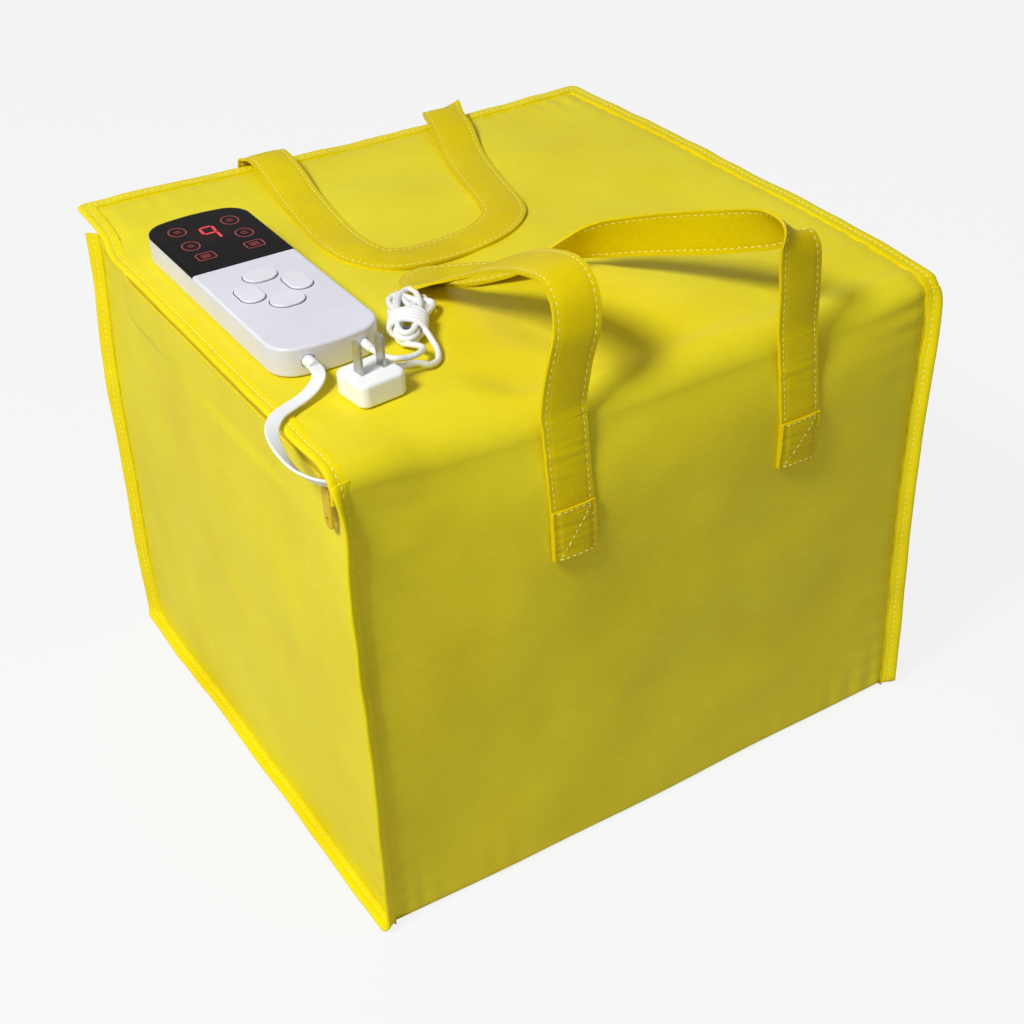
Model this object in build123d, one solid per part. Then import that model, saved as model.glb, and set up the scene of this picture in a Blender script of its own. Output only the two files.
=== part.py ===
from build123d import *
import os
from math import atan2, cos, degrees, pi, radians, sin, tan

# Folding dough proofer: a soft insulated box bag with a heating pad on its floor,
# a zipped lid, two strap handles and a handset on a lead. Millimetres.
# X runs along the front wall, Y from the front wall to the far wall, Z up.
# The origin is the middle of the underside of the floor.

# ---- driving dimensions: the bag ----
bag_width = 352.0          # X, over the side walls' faces
bag_depth = 342.0          # Y, over the front and far walls' faces
bag_height = 296.0         # Z, floor to the top of the lid
cloth_t = 1.0              # outer non-woven cloth
foam_t = 5.0               # foam sheet
foil_t = 0.6               # foil lining
fold_r = 12.0              # the soft front top fold, where the wall turns into the lid
zip_band_h = 11.0          # height of the zip between wall and lid
binding_reach = 7.0        # bound seam allowance, how far it stands out
binding_t = 2.6
seat_gap = 0.3             # clearance between soft pieces on different bodies

# ---- zip ----
tape_t = 0.8
tooth_w = 2.6
tooth_h = 1.2
tooth_gap = 1.0            # between the two rows
slider_length = 12.0
slider_width = 6.0
slider_height = 8.6
slider_plate_t = 1.0
slider_post_t = 0.5
slider_from_wall = 1.4     # slider to the front wall's lining
slider_corner_r = 1.5
slider_post_length = 3.0
slider_post_inset = 0.5    # post to the slider's front end
pull_length = 27.0
pull_width = 8.0
pull_t = 1.2
pull_hole_r = 1.6
pull_pin_r = 0.7
pull_pin_clear = 0.08      # pin to its hole
pull_ear = 1.3             # pull above its pin
pull_pin_out = 2.0         # pin to the slider's face
pull_pin_rise = 0.6        # pin above the slider's middle
pull_slot = 4.0            # gap between the pull's ears
pull_eye_up = 4.7          # lower end to the eye's centre
lug_wall = 0.4             # slider's lug beyond the pull's ears, up and down

# ---- handles ----
strap_w = 26.0
strap_t = 1.8
near_legs_x = (-60.0, 84.0)
far_legs_x = (-58.0, 78.0)
far_fold_out = 2.3         # far strap's middle to the lid binding at its fold
far_fold_rise = 2.0        # the same fold above the lid's underside
far_riser = 4.0            # straight stretch above that fold
near_reach = 149.0         # near loop, from the front wall back over the lid
near_rise = 54.0           # its highest point above the lid
far_reach = 170.0          # far loop, from the lid's edge forward
far_rise = 8.0
patch_bottom = 210.0       # lower end of the sewn patch
patch_top = 242.0

# ---- heating pad ----
pad_width = 290.0
pad_depth = 280.0
pad_t = 6.6
pad_skin_t = 1.0
pad_seam = 6.0             # sewn edge round the pad's pocket
pad_corner_r = 12.0
heat_wire_r = 1.1
heat_pitch = 24.0          # between the wire's runs
heat_margin = 20.0
heat_clear = 21.0          # wire's first run to the cut-out
cutout_size = (14.0, 7.0, 3.8)
cutout_edge_r = 1.2
probe_r = 1.9
probe_length = 14.0

# ---- handset ----
handset_length = 172.0
handset_width = 60.0
handset_t = 16.0
handset_from_left = 40.0   # centre line to the left wall's face
handset_y = 6.0
handset_corner_r = 15.0
handset_end_bow = 5.0      # how far each end bows out
handset_wall_t = 2.0
handset_split_z = 8.0      # joint line above the underside
handset_rim_r = 1.6        # rounding of the shells' outer edges
window_length = 71.0       # from the upper end
window_t = 1.6
window_gap = 0.15          # window to the shell's recess
board_t = 1.6
board_margin = 1.5         # board edge to the shell's inner wall
board_short = 12.0         # board's lower end to the handset's end
board_z = 7.5              # underside of the board above the handset's underside
digit_size = (13.0, 19.0)
digit_gap = 0.1            # display to the window
digit_opening = 0.3        # display to the shell, each side
digit_below_end = 25.5     # upper end to the digit's centre
button_cross = (13.5, 17.0)  # keys from the middle of their cross, across and along
buttons_below_window = 37.0
button_wide = (18.5, 15.0)   # upper and lower keys, across and along
button_tall = (21.0, 13.0)   # keys at the sides, along and across
button_travel = 0.8
button_proud = 1.0         # how far a button stands above the shell
button_gap = 0.25
flange_reach = 1.2         # flange beyond the cap, inside the shell
flange_t = 1.0
flange_gap = 0.1           # flange to the shell above it, stem to the pressed dome
membrane_size = (52.0, 50.0)
membrane_t = 0.8
dome_t = 0.5               # rubber dome under each button
dome_reach = 1.0           # dome beyond the stem
post_r = 3.2
screw_r = 1.2
screw_clear = 0.2
screw_head_r = 2.2
screw_head_t = 1.4
screw_head_sink = 0.15     # head below the handset's underside
screw_length = 9.5
screw_inset = 11.0
screw_bore_depth = 3.0     # in the upper shell's bosses
lamp_size = (2.0, 1.2, 0.8)
lamp_column = 15.5         # from the centre line
lamp_rows = (15.0, 36.0, 52.5)  # from the upper end
relay_size = (15.0, 19.0, 5.0)
relay_place = (10.0, 66.0)  # from the centre line, below the upper end
lead_gland_length = 6.0    # outside the shell
gland_inside = 6.0
gland_wall = 1.3           # gland's thick end beyond the lead
gland_tip_wall = 0.5

# ---- leads ----
control_lead_d = 5.0
mains_lead_d = 3.2
inner_lead_d = 3.6
control_gland_x = -14.0    # from the handset's centre line
mains_gland_x = 17.0
hank_size = (52.0, 22.0, 12.0)
hank_from_handset = (54.0, 4.0)  # from the centre line, past the lower end
hank_turn = 66.0           # degrees from X
plug_size = (27.0, 25.0, 13.0)
plug_from_handset = (3.0, -37.0)  # from the centre line, past the lower end
plug_turn = 6.0            # degrees
plug_neck_length = 8.0
plug_neck_r = 4.2          # where it meets the plug
plug_neck_sink = 2.0       # neck's root inside the plug
plug_neck_y = 2.0
hank_overlap = 2.5         # how far each strand runs into the hank
plug_corner_r = 5.0
plug_edge_r = 2.2
pin_spacing = 12.7
pin_size = (1.5, 6.3, 17.0)
pin_tip_r = 1.4

# ---- worked out from the above ----
wall_t = cloth_t + foam_t + foil_t
half_w = bag_width / 2
half_d = bag_depth / 2
lid_under = bag_height - wall_t
fold_z = bag_height - fold_r
rim_z = lid_under - zip_band_h
inner_x = half_w - wall_t
inner_y = half_d - wall_t
coil_x = half_w - tooth_w / 2
lower_row_z = rim_z + (zip_band_h - tooth_gap) / 2 - tooth_h
upper_row_z = lower_row_z + tooth_h + tooth_gap
slider_y = -inner_y + slider_from_wall + slider_length / 2
slider_z = lower_row_z + tooth_h + tooth_gap / 2
lid_seat = bag_height + seat_gap
handset_x = handset_from_left - half_w
handset_z = lid_seat
handset_top = handset_z + handset_t
upper_end_y = handset_y + handset_length / 2
lower_end_y = handset_y - handset_length / 2
window_edge_y = upper_end_y - window_length
buttons_y = window_edge_y - buttons_below_window
hank_centre = (handset_x + hank_from_handset[0], lower_end_y + hank_from_handset[1])
plug_centre = (handset_x + plug_from_handset[0], lower_end_y + plug_from_handset[1])


def slab(x_range, y_range, z_range):
    """A box between two corners."""
    size = [r[1] - r[0] for r in (x_range, y_range, z_range)]
    middle = [(r[0] + r[1]) / 2 for r in (x_range, y_range, z_range)]
    return Pos(*middle) * Box(*size)


# ---------------------------------------------------------------- bag layers
layer_inset = {"panel": 0.0, "foam": cloth_t, "liner": cloth_t + foam_t}
layer_thick = {"panel": cloth_t, "foam": foam_t, "liner": foil_t}


def floor_layer(layer):
    low = layer_inset[layer]
    return slab((-half_w, half_w), (-half_d, half_d), (low, low + layer_thick[layer]))


def end_wall_layer(layer, side):
    """The front wall (side -1) or the far wall (side 1), full width."""
    outer = half_d - layer_inset[layer]
    inner = outer - layer_thick[layer]
    top = fold_z if side < 0 else rim_z
    y_range = sorted((side * outer, side * inner))
    return slab((-half_w, half_w), y_range, (wall_t, top))


def side_wall_layer(layer, side):
    """The left wall (side -1) or the right wall (side 1), between the end walls."""
    outer = half_w - layer_inset[layer]
    inner = outer - layer_thick[layer]
    return slab(sorted((side * outer, side * inner)), (-inner_y, inner_y), (wall_t, rim_z))


def lid_layer(layer):
    """One layer of the lid with its rounded front fold, drawn in YZ and pulled along X."""
    outer_r = fold_r - layer_inset[layer]
    inner_r = outer_r - layer_thick[layer]
    centre_y = -half_d + fold_r
    top = bag_height - layer_inset[layer]
    under = top - layer_thick[layer]
    turn = cos(pi / 4)
    with BuildSketch(Plane.YZ) as profile:
        with BuildLine():
            Line((half_d, top), (centre_y, top))
            ThreePointArc((centre_y, top), (centre_y - outer_r * turn, fold_z + outer_r * turn),
                          (centre_y - outer_r, fold_z))
            Line((centre_y - outer_r, fold_z), (centre_y - inner_r, fold_z))
            ThreePointArc((centre_y - inner_r, fold_z), (centre_y - inner_r * turn, fold_z + inner_r * turn),
                          (centre_y, under))
            Line((centre_y, under), (half_d, under))
            Line((half_d, under), (half_d, top))
        make_face()
    return extrude(profile.sketch, amount=half_w, both=True)


# ------------------------------------------------------------------ bindings
def side_binding(side):
    """The bound seam round one side wall: front upright, base and far upright."""
    parts = []
    for end in (-1, 1):
        top = fold_z if end < 0 else rim_z
        lean = atan2(end, side)
        bar = Box(binding_reach, binding_t, top - binding_t)
        bar = Pos(binding_reach / 2, 0, (top + binding_t) / 2) * bar
        parts.append(Pos(side * half_w, end * half_d, 0) * Rot(0, 0, degrees(lean)) * bar)
    base = slab(sorted((side * half_w, side * (half_w + binding_reach))),
                (-half_d, half_d), (0, binding_t))
    return parts[0] + parts[1] + base


def lid_binding():
    """The bound edge of the lid along its left, far and right sides."""
    outer_x = half_w + binding_reach
    outer_y = half_d + binding_reach
    start_y = -half_d + fold_r
    z_range = (bag_height - binding_t, bag_height)
    left = slab((-outer_x, -half_w), (start_y, half_d), z_range)
    right = slab((half_w, outer_x), (start_y, half_d), z_range)
    far = slab((-outer_x, outer_x), (half_d, outer_y), z_range)
    return left + right + far


# ----------------------------------------------------------------------- zip
def zip_run(width, z_range, front_y):
    """A strip along the left, far and right sides, centred on the teeth."""
    across = (coil_x - width / 2, coil_x + width / 2)
    far_y = coil_x - half_w + half_d
    left = slab((-across[1], -across[0]), (front_y, far_y), z_range)
    right = slab(across, (front_y, far_y), z_range)
    far = slab((-across[1], across[1]), (far_y - width / 2, far_y + width / 2), z_range)
    return left + right + far


def zip_lower():
    start = -inner_y + seat_gap
    tape = zip_run(tape_t, (rim_z, lower_row_z), start)
    teeth = zip_run(tooth_w, (lower_row_z, lower_row_z + tooth_h), start)
    return tape, teeth


def zip_upper():
    start = slider_y + slider_length / 2 + fold_r
    tape = zip_run(tape_t, (upper_row_z + tooth_h, lid_under), start)
    teeth = zip_run(tooth_w, (upper_row_z, upper_row_z + tooth_h), start)
    return tape, teeth


def zip_slider():
    """Two plates either side of the teeth, joined by a thin post between the rows."""
    x_mid = -coil_x
    plates = []
    for side in (-1, 1):
        x = x_mid + side * (slider_width - slider_plate_t) / 2
        plate = Box(slider_plate_t, slider_length, slider_height)
        plate = fillet(plate.edges().filter_by(Axis.X), slider_corner_r)
        plates.append(Pos(x, slider_y, slider_z) * plate)
    post_y = slider_y + slider_post_inset + (slider_post_length - slider_length) / 2
    post = Box(slider_width - slider_plate_t, slider_post_length, slider_post_t)
    post = Pos(x_mid, post_y, slider_z) * post
    lug_depth = pull_pin_out + pull_ear
    lug_x = x_mid - slider_width / 2 - lug_depth / 2
    pin_x, pin_z = pull_pin_place()
    lug = Box(lug_depth, pull_slot - 2 * seat_gap, 2 * (pull_ear + lug_wall))
    lug = Pos(lug_x, slider_y, pin_z) * lug
    hole = Rot(90, 0, 0) * Cylinder(pull_pin_r + pull_pin_clear, pull_width)
    hole = Pos(pin_x, slider_y, pin_z) * hole
    return plates[0] + plates[1] + post + (lug - hole)


def pull_pin_place():
    """X and Z of the pull's pin."""
    return -coil_x - slider_width / 2 - pull_pin_out, slider_z + pull_pin_rise


def zip_pull():
    """The pull tab: a forked plate hanging from its pin, with a round hole near its end."""
    pin_x, pin_z = pull_pin_place()
    tab = Box(pull_t, pull_width, pull_length)
    tab = fillet(tab.edges().filter_by(Axis.X), pull_width / 2 - 0.3)
    low_ears = Box(pull_t, pull_width, pull_length / 2)
    tab = tab + Pos(0, 0, pull_length / 4) * low_ears
    tab = Pos(pin_x, slider_y, pin_z + pull_ear - pull_length / 2) * tab
    fork = Pos(pin_x, slider_y, pin_z) * Box(2 * pull_t, pull_slot, 4 * pull_ear)
    eye_z = pin_z + pull_ear + pull_eye_up - pull_length
    eye = Pos(pin_x, slider_y, eye_z) * Rot(0, 90, 0) * Cylinder(pull_hole_r, 3 * pull_t)
    pin = Pos(pin_x, slider_y, pin_z) * Rot(90, 0, 0) * Cylinder(pull_pin_r, pull_width)
    return tab - fork - eye + pin


# ------------------------------------------------------------------- handles
def strap(stations):
    """A flat strap through hand-set stations: (middle, direction of its width)."""
    rings = []
    count = len(stations)
    for i, (middle, across) in enumerate(stations):
        before = Vector(*stations[max(i - 1, 0)][0])
        after = Vector(*stations[min(i + 1, count - 1)][0])
        along = (after - before).normalized()
        across = Vector(*across)
        across = (across - along * across.dot(along)).normalized() * (strap_w / 2)
        up = along.cross(across).normalized() * (strap_t / 2)
        middle = Vector(*middle)
        low, high = middle - up, middle + up
        rings.append([low - across, low + across, high + across, high - across])

    def triangle(a, b, c):
        return Face(Wire.make_polygon([a, b, c], close=True))

    faces = []
    for first, second in zip(rings, rings[1:]):
        for k in range(4):
            m = (k + 1) % 4
            faces.append(triangle(first[k], first[m], second[m]))
            faces.append(triangle(first[k], second[m], second[k]))
    for ring in (rings[0], rings[-1]):
        faces.append(triangle(ring[0], ring[1], ring[2]))
        faces.append(triangle(ring[0], ring[2], ring[3]))
    solid = Solid(Shell(faces))
    return solid if solid.volume > 0 else Solid(Shell([-f for f in faces]))


def far_fold():
    """Where the far handle folds over the lid's bound edge: Y and Z of the strap's middle."""
    return half_d + binding_reach + far_fold_out, lid_under + far_fold_rise


def sewn_hem(x, side):
    """The strap's end turned under and sewn down, on top of the strap."""
    turned_in = sorted((side * (half_d + strap_t), side * (half_d + 2 * strap_t)))
    return slab((x - strap_w / 2, x + strap_w / 2), turned_in, (patch_bottom, patch_top))


def near_handle_ends():
    """Both sewn ends of the near handle, flat on the front wall up to the fold."""
    ends = []
    for x in near_legs_x:
        leg = slab((x - strap_w / 2, x + strap_w / 2), (-half_d - strap_t, -half_d), (patch_bottom, fold_z))
        ends.append(leg + sewn_hem(x, -1))
    return Compound(children=ends)


def far_handle_ends():
    """Both sewn ends of the far handle: up the far wall, then out past the lid's edge."""
    face_y = half_d + strap_t / 2
    fold_y, edge_z = far_fold()
    ends = []
    for x in far_legs_x:
        leg = strap([
            ((x, face_y, patch_bottom), (-1, 0, 0)),
            ((x, face_y, rim_z - 10), (-1, 0, 0)),
            ((x, face_y + 0.6, rim_z - 4), (-1, 0, 0)),
            ((x, fold_y, edge_z - 4), (-1, 0, 0)),
            ((x, fold_y, edge_z), (-1, 0, 0)),
        ])
        ends.append(leg + sewn_hem(x, 1))
    return Compound(children=ends)


def near_handle_loop():
    """The near handle's free loop: up from the fold, back over the lid and across it."""
    # shares of the way from leg to leg, of the reach and of the rise; then the width's direction
    shares = [
        ((0, 0, -0.074), (1, 0, 0)),
        ((0.021, -0.003, 0.259), (1, 0, 0.05)),
        ((0.056, -0.003, 0.63), (1, 0, 0.1)),
        ((0.076, 0.04, 0.889), (1, 0.1, 0.12)),
        ((0.09, 0.134, 1), (1, 0.2, 0.12)),
        ((0.097, 0.282, 0.926), (1, 0.2, 0.1)),
        ((0.097, 0.456, 0.741), (1, 0.15, 0.08)),
        ((0.083, 0.617, 0.5), (1, 0.05, 0.05)),
        ((0.049, 0.758, 0.278), (1, -0.1, 0)),
        ((0.014, 0.872, 0.111), (1, -0.2, 0)),
        ((0.028, 0.96, 0.048), (0.7, -0.72, 0)),
        ((0.097, 1, 0.041), (0.1, -1, 0)),
        ((0.222, 0.96, 0.044), (-0.3, -1, 0)),
        ((0.389, 0.886, 0.067), (-0.4, -1, 0.25)),
        ((0.542, 0.792, 0.194), (-0.35, -0.75, 0.9)),
        ((0.653, 0.685, 0.315), (-0.25, -0.3, 1)),
        ((0.757, 0.523, 0.463), (-0.2, -0.15, 1)),
        ((0.854, 0.336, 0.611), (-0.15, -0.1, 1)),
        ((0.938, 0.161, 0.759), (-0.3, -0.1, 1)),
        ((0.972, 0.047, 0.852), (-0.8, 0, 0.75)),
        ((0.986, 0.003, 0.704), (-1, 0, 0.25)),
        ((0.993, -0.003, 0.37), (-1, 0, 0)),
        ((1, 0, -0.074), (-1, 0, 0)),
    ]
    face_y = -half_d - seat_gap - strap_t / 2
    left, right = near_legs_x
    route = [((left, face_y, fold_z + seat_gap), (1, 0, 0))]
    for (over, back, up), across in shares:
        middle = (left + over * (right - left), face_y + back * near_reach, bag_height + up * near_rise)
        route.append((middle, across))
    route.append(((right, face_y, fold_z + seat_gap), (-1, 0, 0)))
    return strap(route)


def far_handle_loop():
    """The far handle's free loop: over the far edge and flat along the lid."""
    # shares of the way from leg to leg, of the reach and of the rise; then the width's direction
    shares = [
        ((0.007, -0.009, 0.485), (-1, 0, 0)),
        ((0.022, 0.053, 1), (-1, 0.05, 0)),
        ((0.007, 0.2, 0.632), (-1, 0.1, 0)),
        ((-0.022, 0.388, 0.147), (-1, 0.12, 0)),
        ((-0.051, 0.624, 0), (-1, 0.1, 0)),
        ((-0.066, 0.788, 0), (-1, 0.05, 0)),
        ((-0.051, 0.894, 0), (-0.85, -0.5, 0)),
        ((0.022, 0.971, 0), (-0.45, -0.9, 0)),
        ((0.162, 1, 0), (0.05, -1, 0)),
        ((0.353, 0.988, 0), (0.15, -1, 0)),
        ((0.529, 0.953, 0), (0.4, -0.9, 0)),
        ((0.647, 0.882, 0), (0.85, -0.5, 0)),
        ((0.699, 0.788, 0), (1, -0.25, 0)),
        ((0.757, 0.588, 0), (1, -0.22, 0)),
        ((0.831, 0.365, 0.147), (1, -0.22, 0)),
        ((0.904, 0.188, 0.632), (1, -0.2, 0)),
        ((0.949, 0.053, 1), (1, -0.12, 0)),
        ((0.985, -0.009, 0.485), (1, 0, 0)),
    ]
    left, right = far_legs_x
    edge_y = half_d + binding_reach
    fold_y, edge_z = far_fold()
    lies = bag_height + strap_t / 2 + seat_gap
    rise = bag_height + far_rise - lies
    route = [((left, fold_y, edge_z + height), (-1, 0, 0)) for height in (seat_gap, far_riser)]
    for (over, back, up), across in shares:
        middle = (left + over * (right - left), edge_y - back * far_reach, lies + up * rise)
        route.append((middle, across))
    route += [((right, fold_y, edge_z + height), (1, 0, 0)) for height in (far_riser, seat_gap)]
    return strap(route)


# --------------------------------------------------------------- heating pad
pad_z = wall_t + seat_gap


def pad_cover():
    """The pad's pouch, hollow for the wire."""
    outer = Box(pad_width, pad_depth, pad_t)
    outer = fillet(outer.edges().filter_by(Axis.Z), pad_corner_r)
    room = Box(pad_width - 2 * pad_seam, pad_depth - 2 * pad_seam, pad_t - 2 * pad_skin_t)
    return Pos(0, 0, pad_z + pad_t / 2) * (outer - room)


def heat_wire_level():
    return pad_z + pad_skin_t + heat_wire_r + seat_gap


def heating_wire():
    """One serpentine of heating wire: straight runs joined by half-round turns."""
    run_x = pad_width / 2 - heat_margin - heat_pitch / 2
    rows = int((pad_depth - 2 * heat_margin - heat_clear) // heat_pitch)
    first_y = -pad_depth / 2 + heat_margin + heat_clear
    z = heat_wire_level()
    with BuildLine() as path:
        for row in range(rows):
            y = first_y + row * heat_pitch
            side = 1 if row % 2 == 0 else -1
            Line((-side * run_x, y, z), (side * run_x, y, z))
            if row < rows - 1:
                ThreePointArc((side * run_x, y, z), (side * (run_x + heat_pitch / 2), y + heat_pitch / 2, z),
                              (side * run_x, y + heat_pitch, z))
    start = Plane(origin=(-run_x, first_y, z), z_dir=(1, 0, 0))
    return sweep(start * Circle(heat_wire_r), path=path.wire())


def cutout_place():
    x = -pad_width / 2 + heat_margin + cutout_size[0]
    y = -pad_depth / 2 + heat_margin
    return x, y, pad_z + pad_skin_t + cutout_size[2] / 2


def thermal_cutout():
    body = fillet(Box(*cutout_size).edges().filter_by(Axis.X), cutout_edge_r)
    return Pos(*cutout_place()) * body


def temperature_probe():
    x, y, _ = cutout_place()
    level = pad_z + pad_skin_t + probe_r
    bead = Rot(0, 90, 0) * Cylinder(probe_r, probe_length)
    return Pos(x + cutout_size[0] + probe_length, y, level) * fillet(bead.edges(), probe_r * 0.6)


# -------------------------------------------------------------------- leads
def cord_path(points, diameter, name):
    """Straight runs joined by tangent arcs, each as large as its two runs allow."""
    runs = [(Vector(*b) - Vector(*a)) for a, b in zip(points, points[1:])]
    radii = []
    for first, second in zip(runs, runs[1:]):
        turn = radians(first.get_angle(second))
        radii.append(0.45 * min(first.length, second.length) / tan(turn / 2))
    line = FilletPolyline(*points, radius=radii)
    print(name, "radii", [round(r, 1) for r in radii], "in diameters",
          [round(r / diameter, 1) for r in radii], "turns",
          [round(a.get_angle(b)) for a, b in zip(runs, runs[1:])])
    return line


def cord_tube(points, diameter, name):
    line = cord_path(points, diameter, name)
    start = Plane(origin=line @ 0, z_dir=line % 0)
    tube = sweep(start * Circle(diameter / 2), path=line)
    print(name, "length", round(line.length, 1), "volume share",
          round(tube.volume / (line.length * pi * diameter ** 2 / 4), 4))
    return tube


gland_z = handset_z + handset_split_z
control_exit = (handset_x + control_gland_x, lower_end_y - handset_end_bow - lead_gland_length, gland_z)
mains_exit = (handset_x + mains_gland_x, lower_end_y - handset_end_bow - lead_gland_length, gland_z)


def control_lead():
    x, y, z = control_exit
    lies = lid_seat + control_lead_d / 2
    end_y = -half_d + 4.2
    end_z = fold_z + 3.3
    points = [
        (x, y, z),
        (x, y - 7, z),
        (x - 3.5, y - 14.5, z - 2.6),
        (x - 10, y - 21, lies + 1.0),
        (x - 18.5, y - 27, lies + 0.6),
        (x - 27.5, y - 33.5, lies + 1.4),
        (x - 35.5, y - 42, lies + 1.0),
        (x - 39.6, y - 51.5, lies - 0.8),
        (-half_w - 14.3, end_y + 12.5, lies - 6.2),
        (-half_w - 11.2, end_y + 6.0, end_z + 2.6),
        (-half_w - 5.6, end_y + 1.6, end_z + 0.9),
        (-half_w - 1.0, end_y, end_z),
    ]
    return cord_tube(points, control_lead_d, "control_lead")


def hank_end(along, across=0.0):
    """A point on the hank's outline, by distances along and across it."""
    turn = radians(hank_turn)
    x = hank_centre[0] + along * cos(turn) - across * sin(turn)
    y = hank_centre[1] + along * sin(turn) + across * cos(turn)
    return x, y


plug_neck_tip = plug_size[0] / 2 + plug_neck_length - plug_neck_sink


def plug_point(x, y):
    turn = radians(plug_turn)
    return (plug_centre[0] + x * cos(turn) - y * sin(turn), plug_centre[1] + x * sin(turn) + y * cos(turn))


def mains_lead():
    """Two stretches: handset to hank, passing over the one from the hank to the plug."""
    x, y, z = mains_exit
    lies = lid_seat + mains_lead_d / 2
    end = -hank_size[0] / 2
    hx, hy = hank_end(end, 2.0)
    ix, iy = hank_end(end + hank_overlap, 2.0)
    from_handset = [
        (x, y, z),
        (x, y - 6.5, z),
        (x + 3.4, y - 14.2, z - 0.3),
        (x + 11.6, y - 18.2, z - 0.5),
        (x + 20.0, y - 15.4, z - 0.8),
        (hx - 1.4, hy - 4.2, z - 1.1),
        (ix, iy, z - 1.3),
    ]
    qx, qy = hank_end(end, -4.5)
    jx, jy = hank_end(end + hank_overlap + 1.5, -4.5)
    tip_x, tip_y = plug_point(plug_neck_tip, plug_neck_y)
    back_x, back_y = plug_point(plug_neck_tip + 7.5, plug_neck_y)
    plug_level = lid_seat + plug_size[2] / 2
    to_plug = [
        (jx, jy, lies + 1.0),
        (qx - 0.8, qy - 3.5, lies + 0.3),
        (qx - 5.0, qy - 9.6, lies + 0.1),
        (qx - 11.5, qy - 12.2, lies + 1.4),
        (back_x, back_y, plug_level),
        (tip_x, tip_y, plug_level),
    ]
    first = cord_tube(from_handset, mains_lead_d, "mains_lead_a")
    second = cord_tube(to_plug, mains_lead_d, "mains_lead_b")
    return Compound(children=[first, second])


def mains_hank():
    """The outer shape of the wound lead: a flat loop bundle with rounded ends."""
    length, width, height = hank_size
    body = Box(length, width, height)
    body = fillet(body.edges().filter_by(Axis.Z), width * 0.42)
    body = fillet(body.edges().filter_by(Plane.XY), height * 0.32)
    return Pos(hank_centre[0], hank_centre[1], lid_seat + height / 2) * Rot(0, 0, hank_turn) * body


def inner_lead():
    """The lead inside the bag, down the near left corner to the pad."""
    x = -inner_x + seat_gap + inner_lead_d / 2
    y = -inner_y + seat_gap + inner_lead_d / 2
    pad_x, pad_y, _ = cutout_place()
    floor_z = wall_t + seat_gap + inner_lead_d / 2
    edge_x = -pad_width / 2 - seat_gap
    points = [
        (x, y, rim_z - 4),
        (x + 0.6, y, rim_z - 56),
        (x, y + 0.6, rim_z - 112),
        (x + 0.6, y, rim_z - 168),
        (x, y + 0.4, floor_z + 44),
        (x + 1.2, y + 3.5, floor_z + 15),
        (x + 3.6, y + 13, floor_z + 2.2),
        (x + 5.6, y + 25, floor_z),
        (x + 9.5, y + 36, floor_z),
        (edge_x - 7, pad_y, floor_z),
        (edge_x, pad_y, floor_z),
    ]
    return cord_tube(points, inner_lead_d, "inner_lead")


# ------------------------------------------------------------------ handset
def handset_outline(inset=0.0):
    """The handset's plan: straight sides, bowed ends and round corners."""
    half_l = handset_length / 2 - inset
    half = handset_width / 2 - inset
    with BuildSketch() as plan:
        with BuildLine():
            Line((-half, -half_l), (-half, half_l))
            ThreePointArc((-half, half_l), (0, half_l + handset_end_bow), (half, half_l))
            Line((half, half_l), (half, -half_l))
            ThreePointArc((half, -half_l), (0, -half_l - handset_end_bow), (-half, -half_l))
        make_face()
        fillet(plan.vertices(), max(handset_corner_r - inset, 1.0))
    return plan.sketch


def handset_block(z_low, z_high, inset=0.0):
    """A slice of the handset's body between two heights above its underside."""
    block = extrude(handset_outline(inset), amount=z_high - z_low)
    return Pos(handset_x, handset_y, handset_z + z_low) * block


def window_area(inset, z_low, z_high):
    """The part of the handset's plan that the display window covers."""
    area = handset_block(z_low, z_high, inset)
    low_y = window_edge_y + inset * 0.5
    keep = slab((handset_x - handset_width, handset_x + handset_width),
                (low_y, upper_end_y + 2 * handset_end_bow), (handset_z - 1, handset_top + 5))
    return area & keep


def button_places():
    """Name, centre and whether the oval lies along X, for each of the four buttons."""
    return [
        ("button_up", handset_x, buttons_y + button_cross[1], True),
        ("button_down", handset_x, buttons_y - button_cross[1], True),
        ("button_left", handset_x - button_cross[0], buttons_y, False),
        ("button_right", handset_x + button_cross[0], buttons_y, False),
    ]


def oval(grow, along_x):
    long, short = (size + 2 * grow for size in (button_wide if along_x else button_tall))
    shape = SlotOverall(long, short)
    return shape if along_x else Rot(0, 0, 90) * shape


def button(x, y, along_x):
    """A key cap: oval cap through the shell, a flange below it and a stem to the dome."""
    shell_under = handset_t - handset_wall_t
    cap_z = handset_z + shell_under - button_travel
    cap = Pos(x, y, cap_z) * extrude(oval(0, along_x), amount=handset_wall_t + button_travel + button_proud)
    cap = fillet(cap.edges().sort_by(Axis.Z)[-1], button_proud * 0.55)
    flange_z = handset_z + shell_under - flange_gap - flange_t
    flange = Pos(x, y, flange_z) * extrude(oval(flange_reach, along_x), amount=flange_t)
    stem_low = handset_z + board_z + board_t + membrane_t + dome_t + button_travel + flange_gap
    stem = Pos(x, y, (stem_low + cap_z) / 2) * Cylinder(post_r, cap_z - stem_low)
    return cap + flange + stem


def bottom_shell():
    outer = handset_block(0, handset_split_z)
    outer = fillet(outer.edges().filter_by(Plane.XY).group_by(Axis.Z)[0], handset_rim_r)
    room = handset_block(handset_wall_t, handset_split_z + 1, handset_wall_t)
    shell = outer - room
    post = Cylinder(post_r, board_z - handset_wall_t)
    for x, y in screw_places():
        shell = shell + Pos(x, y, handset_z + (handset_wall_t + board_z) / 2) * post
        shank_hole = Cylinder(screw_r + screw_clear, board_z + 2)
        head_hole = Cylinder(screw_head_r + screw_clear, 2 * (screw_head_sink + screw_head_t))
        shell = shell - Pos(x, y, handset_z + board_z / 2) * shank_hole - Pos(x, y, handset_z) * head_hole
    return shell - gland_holes()


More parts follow.
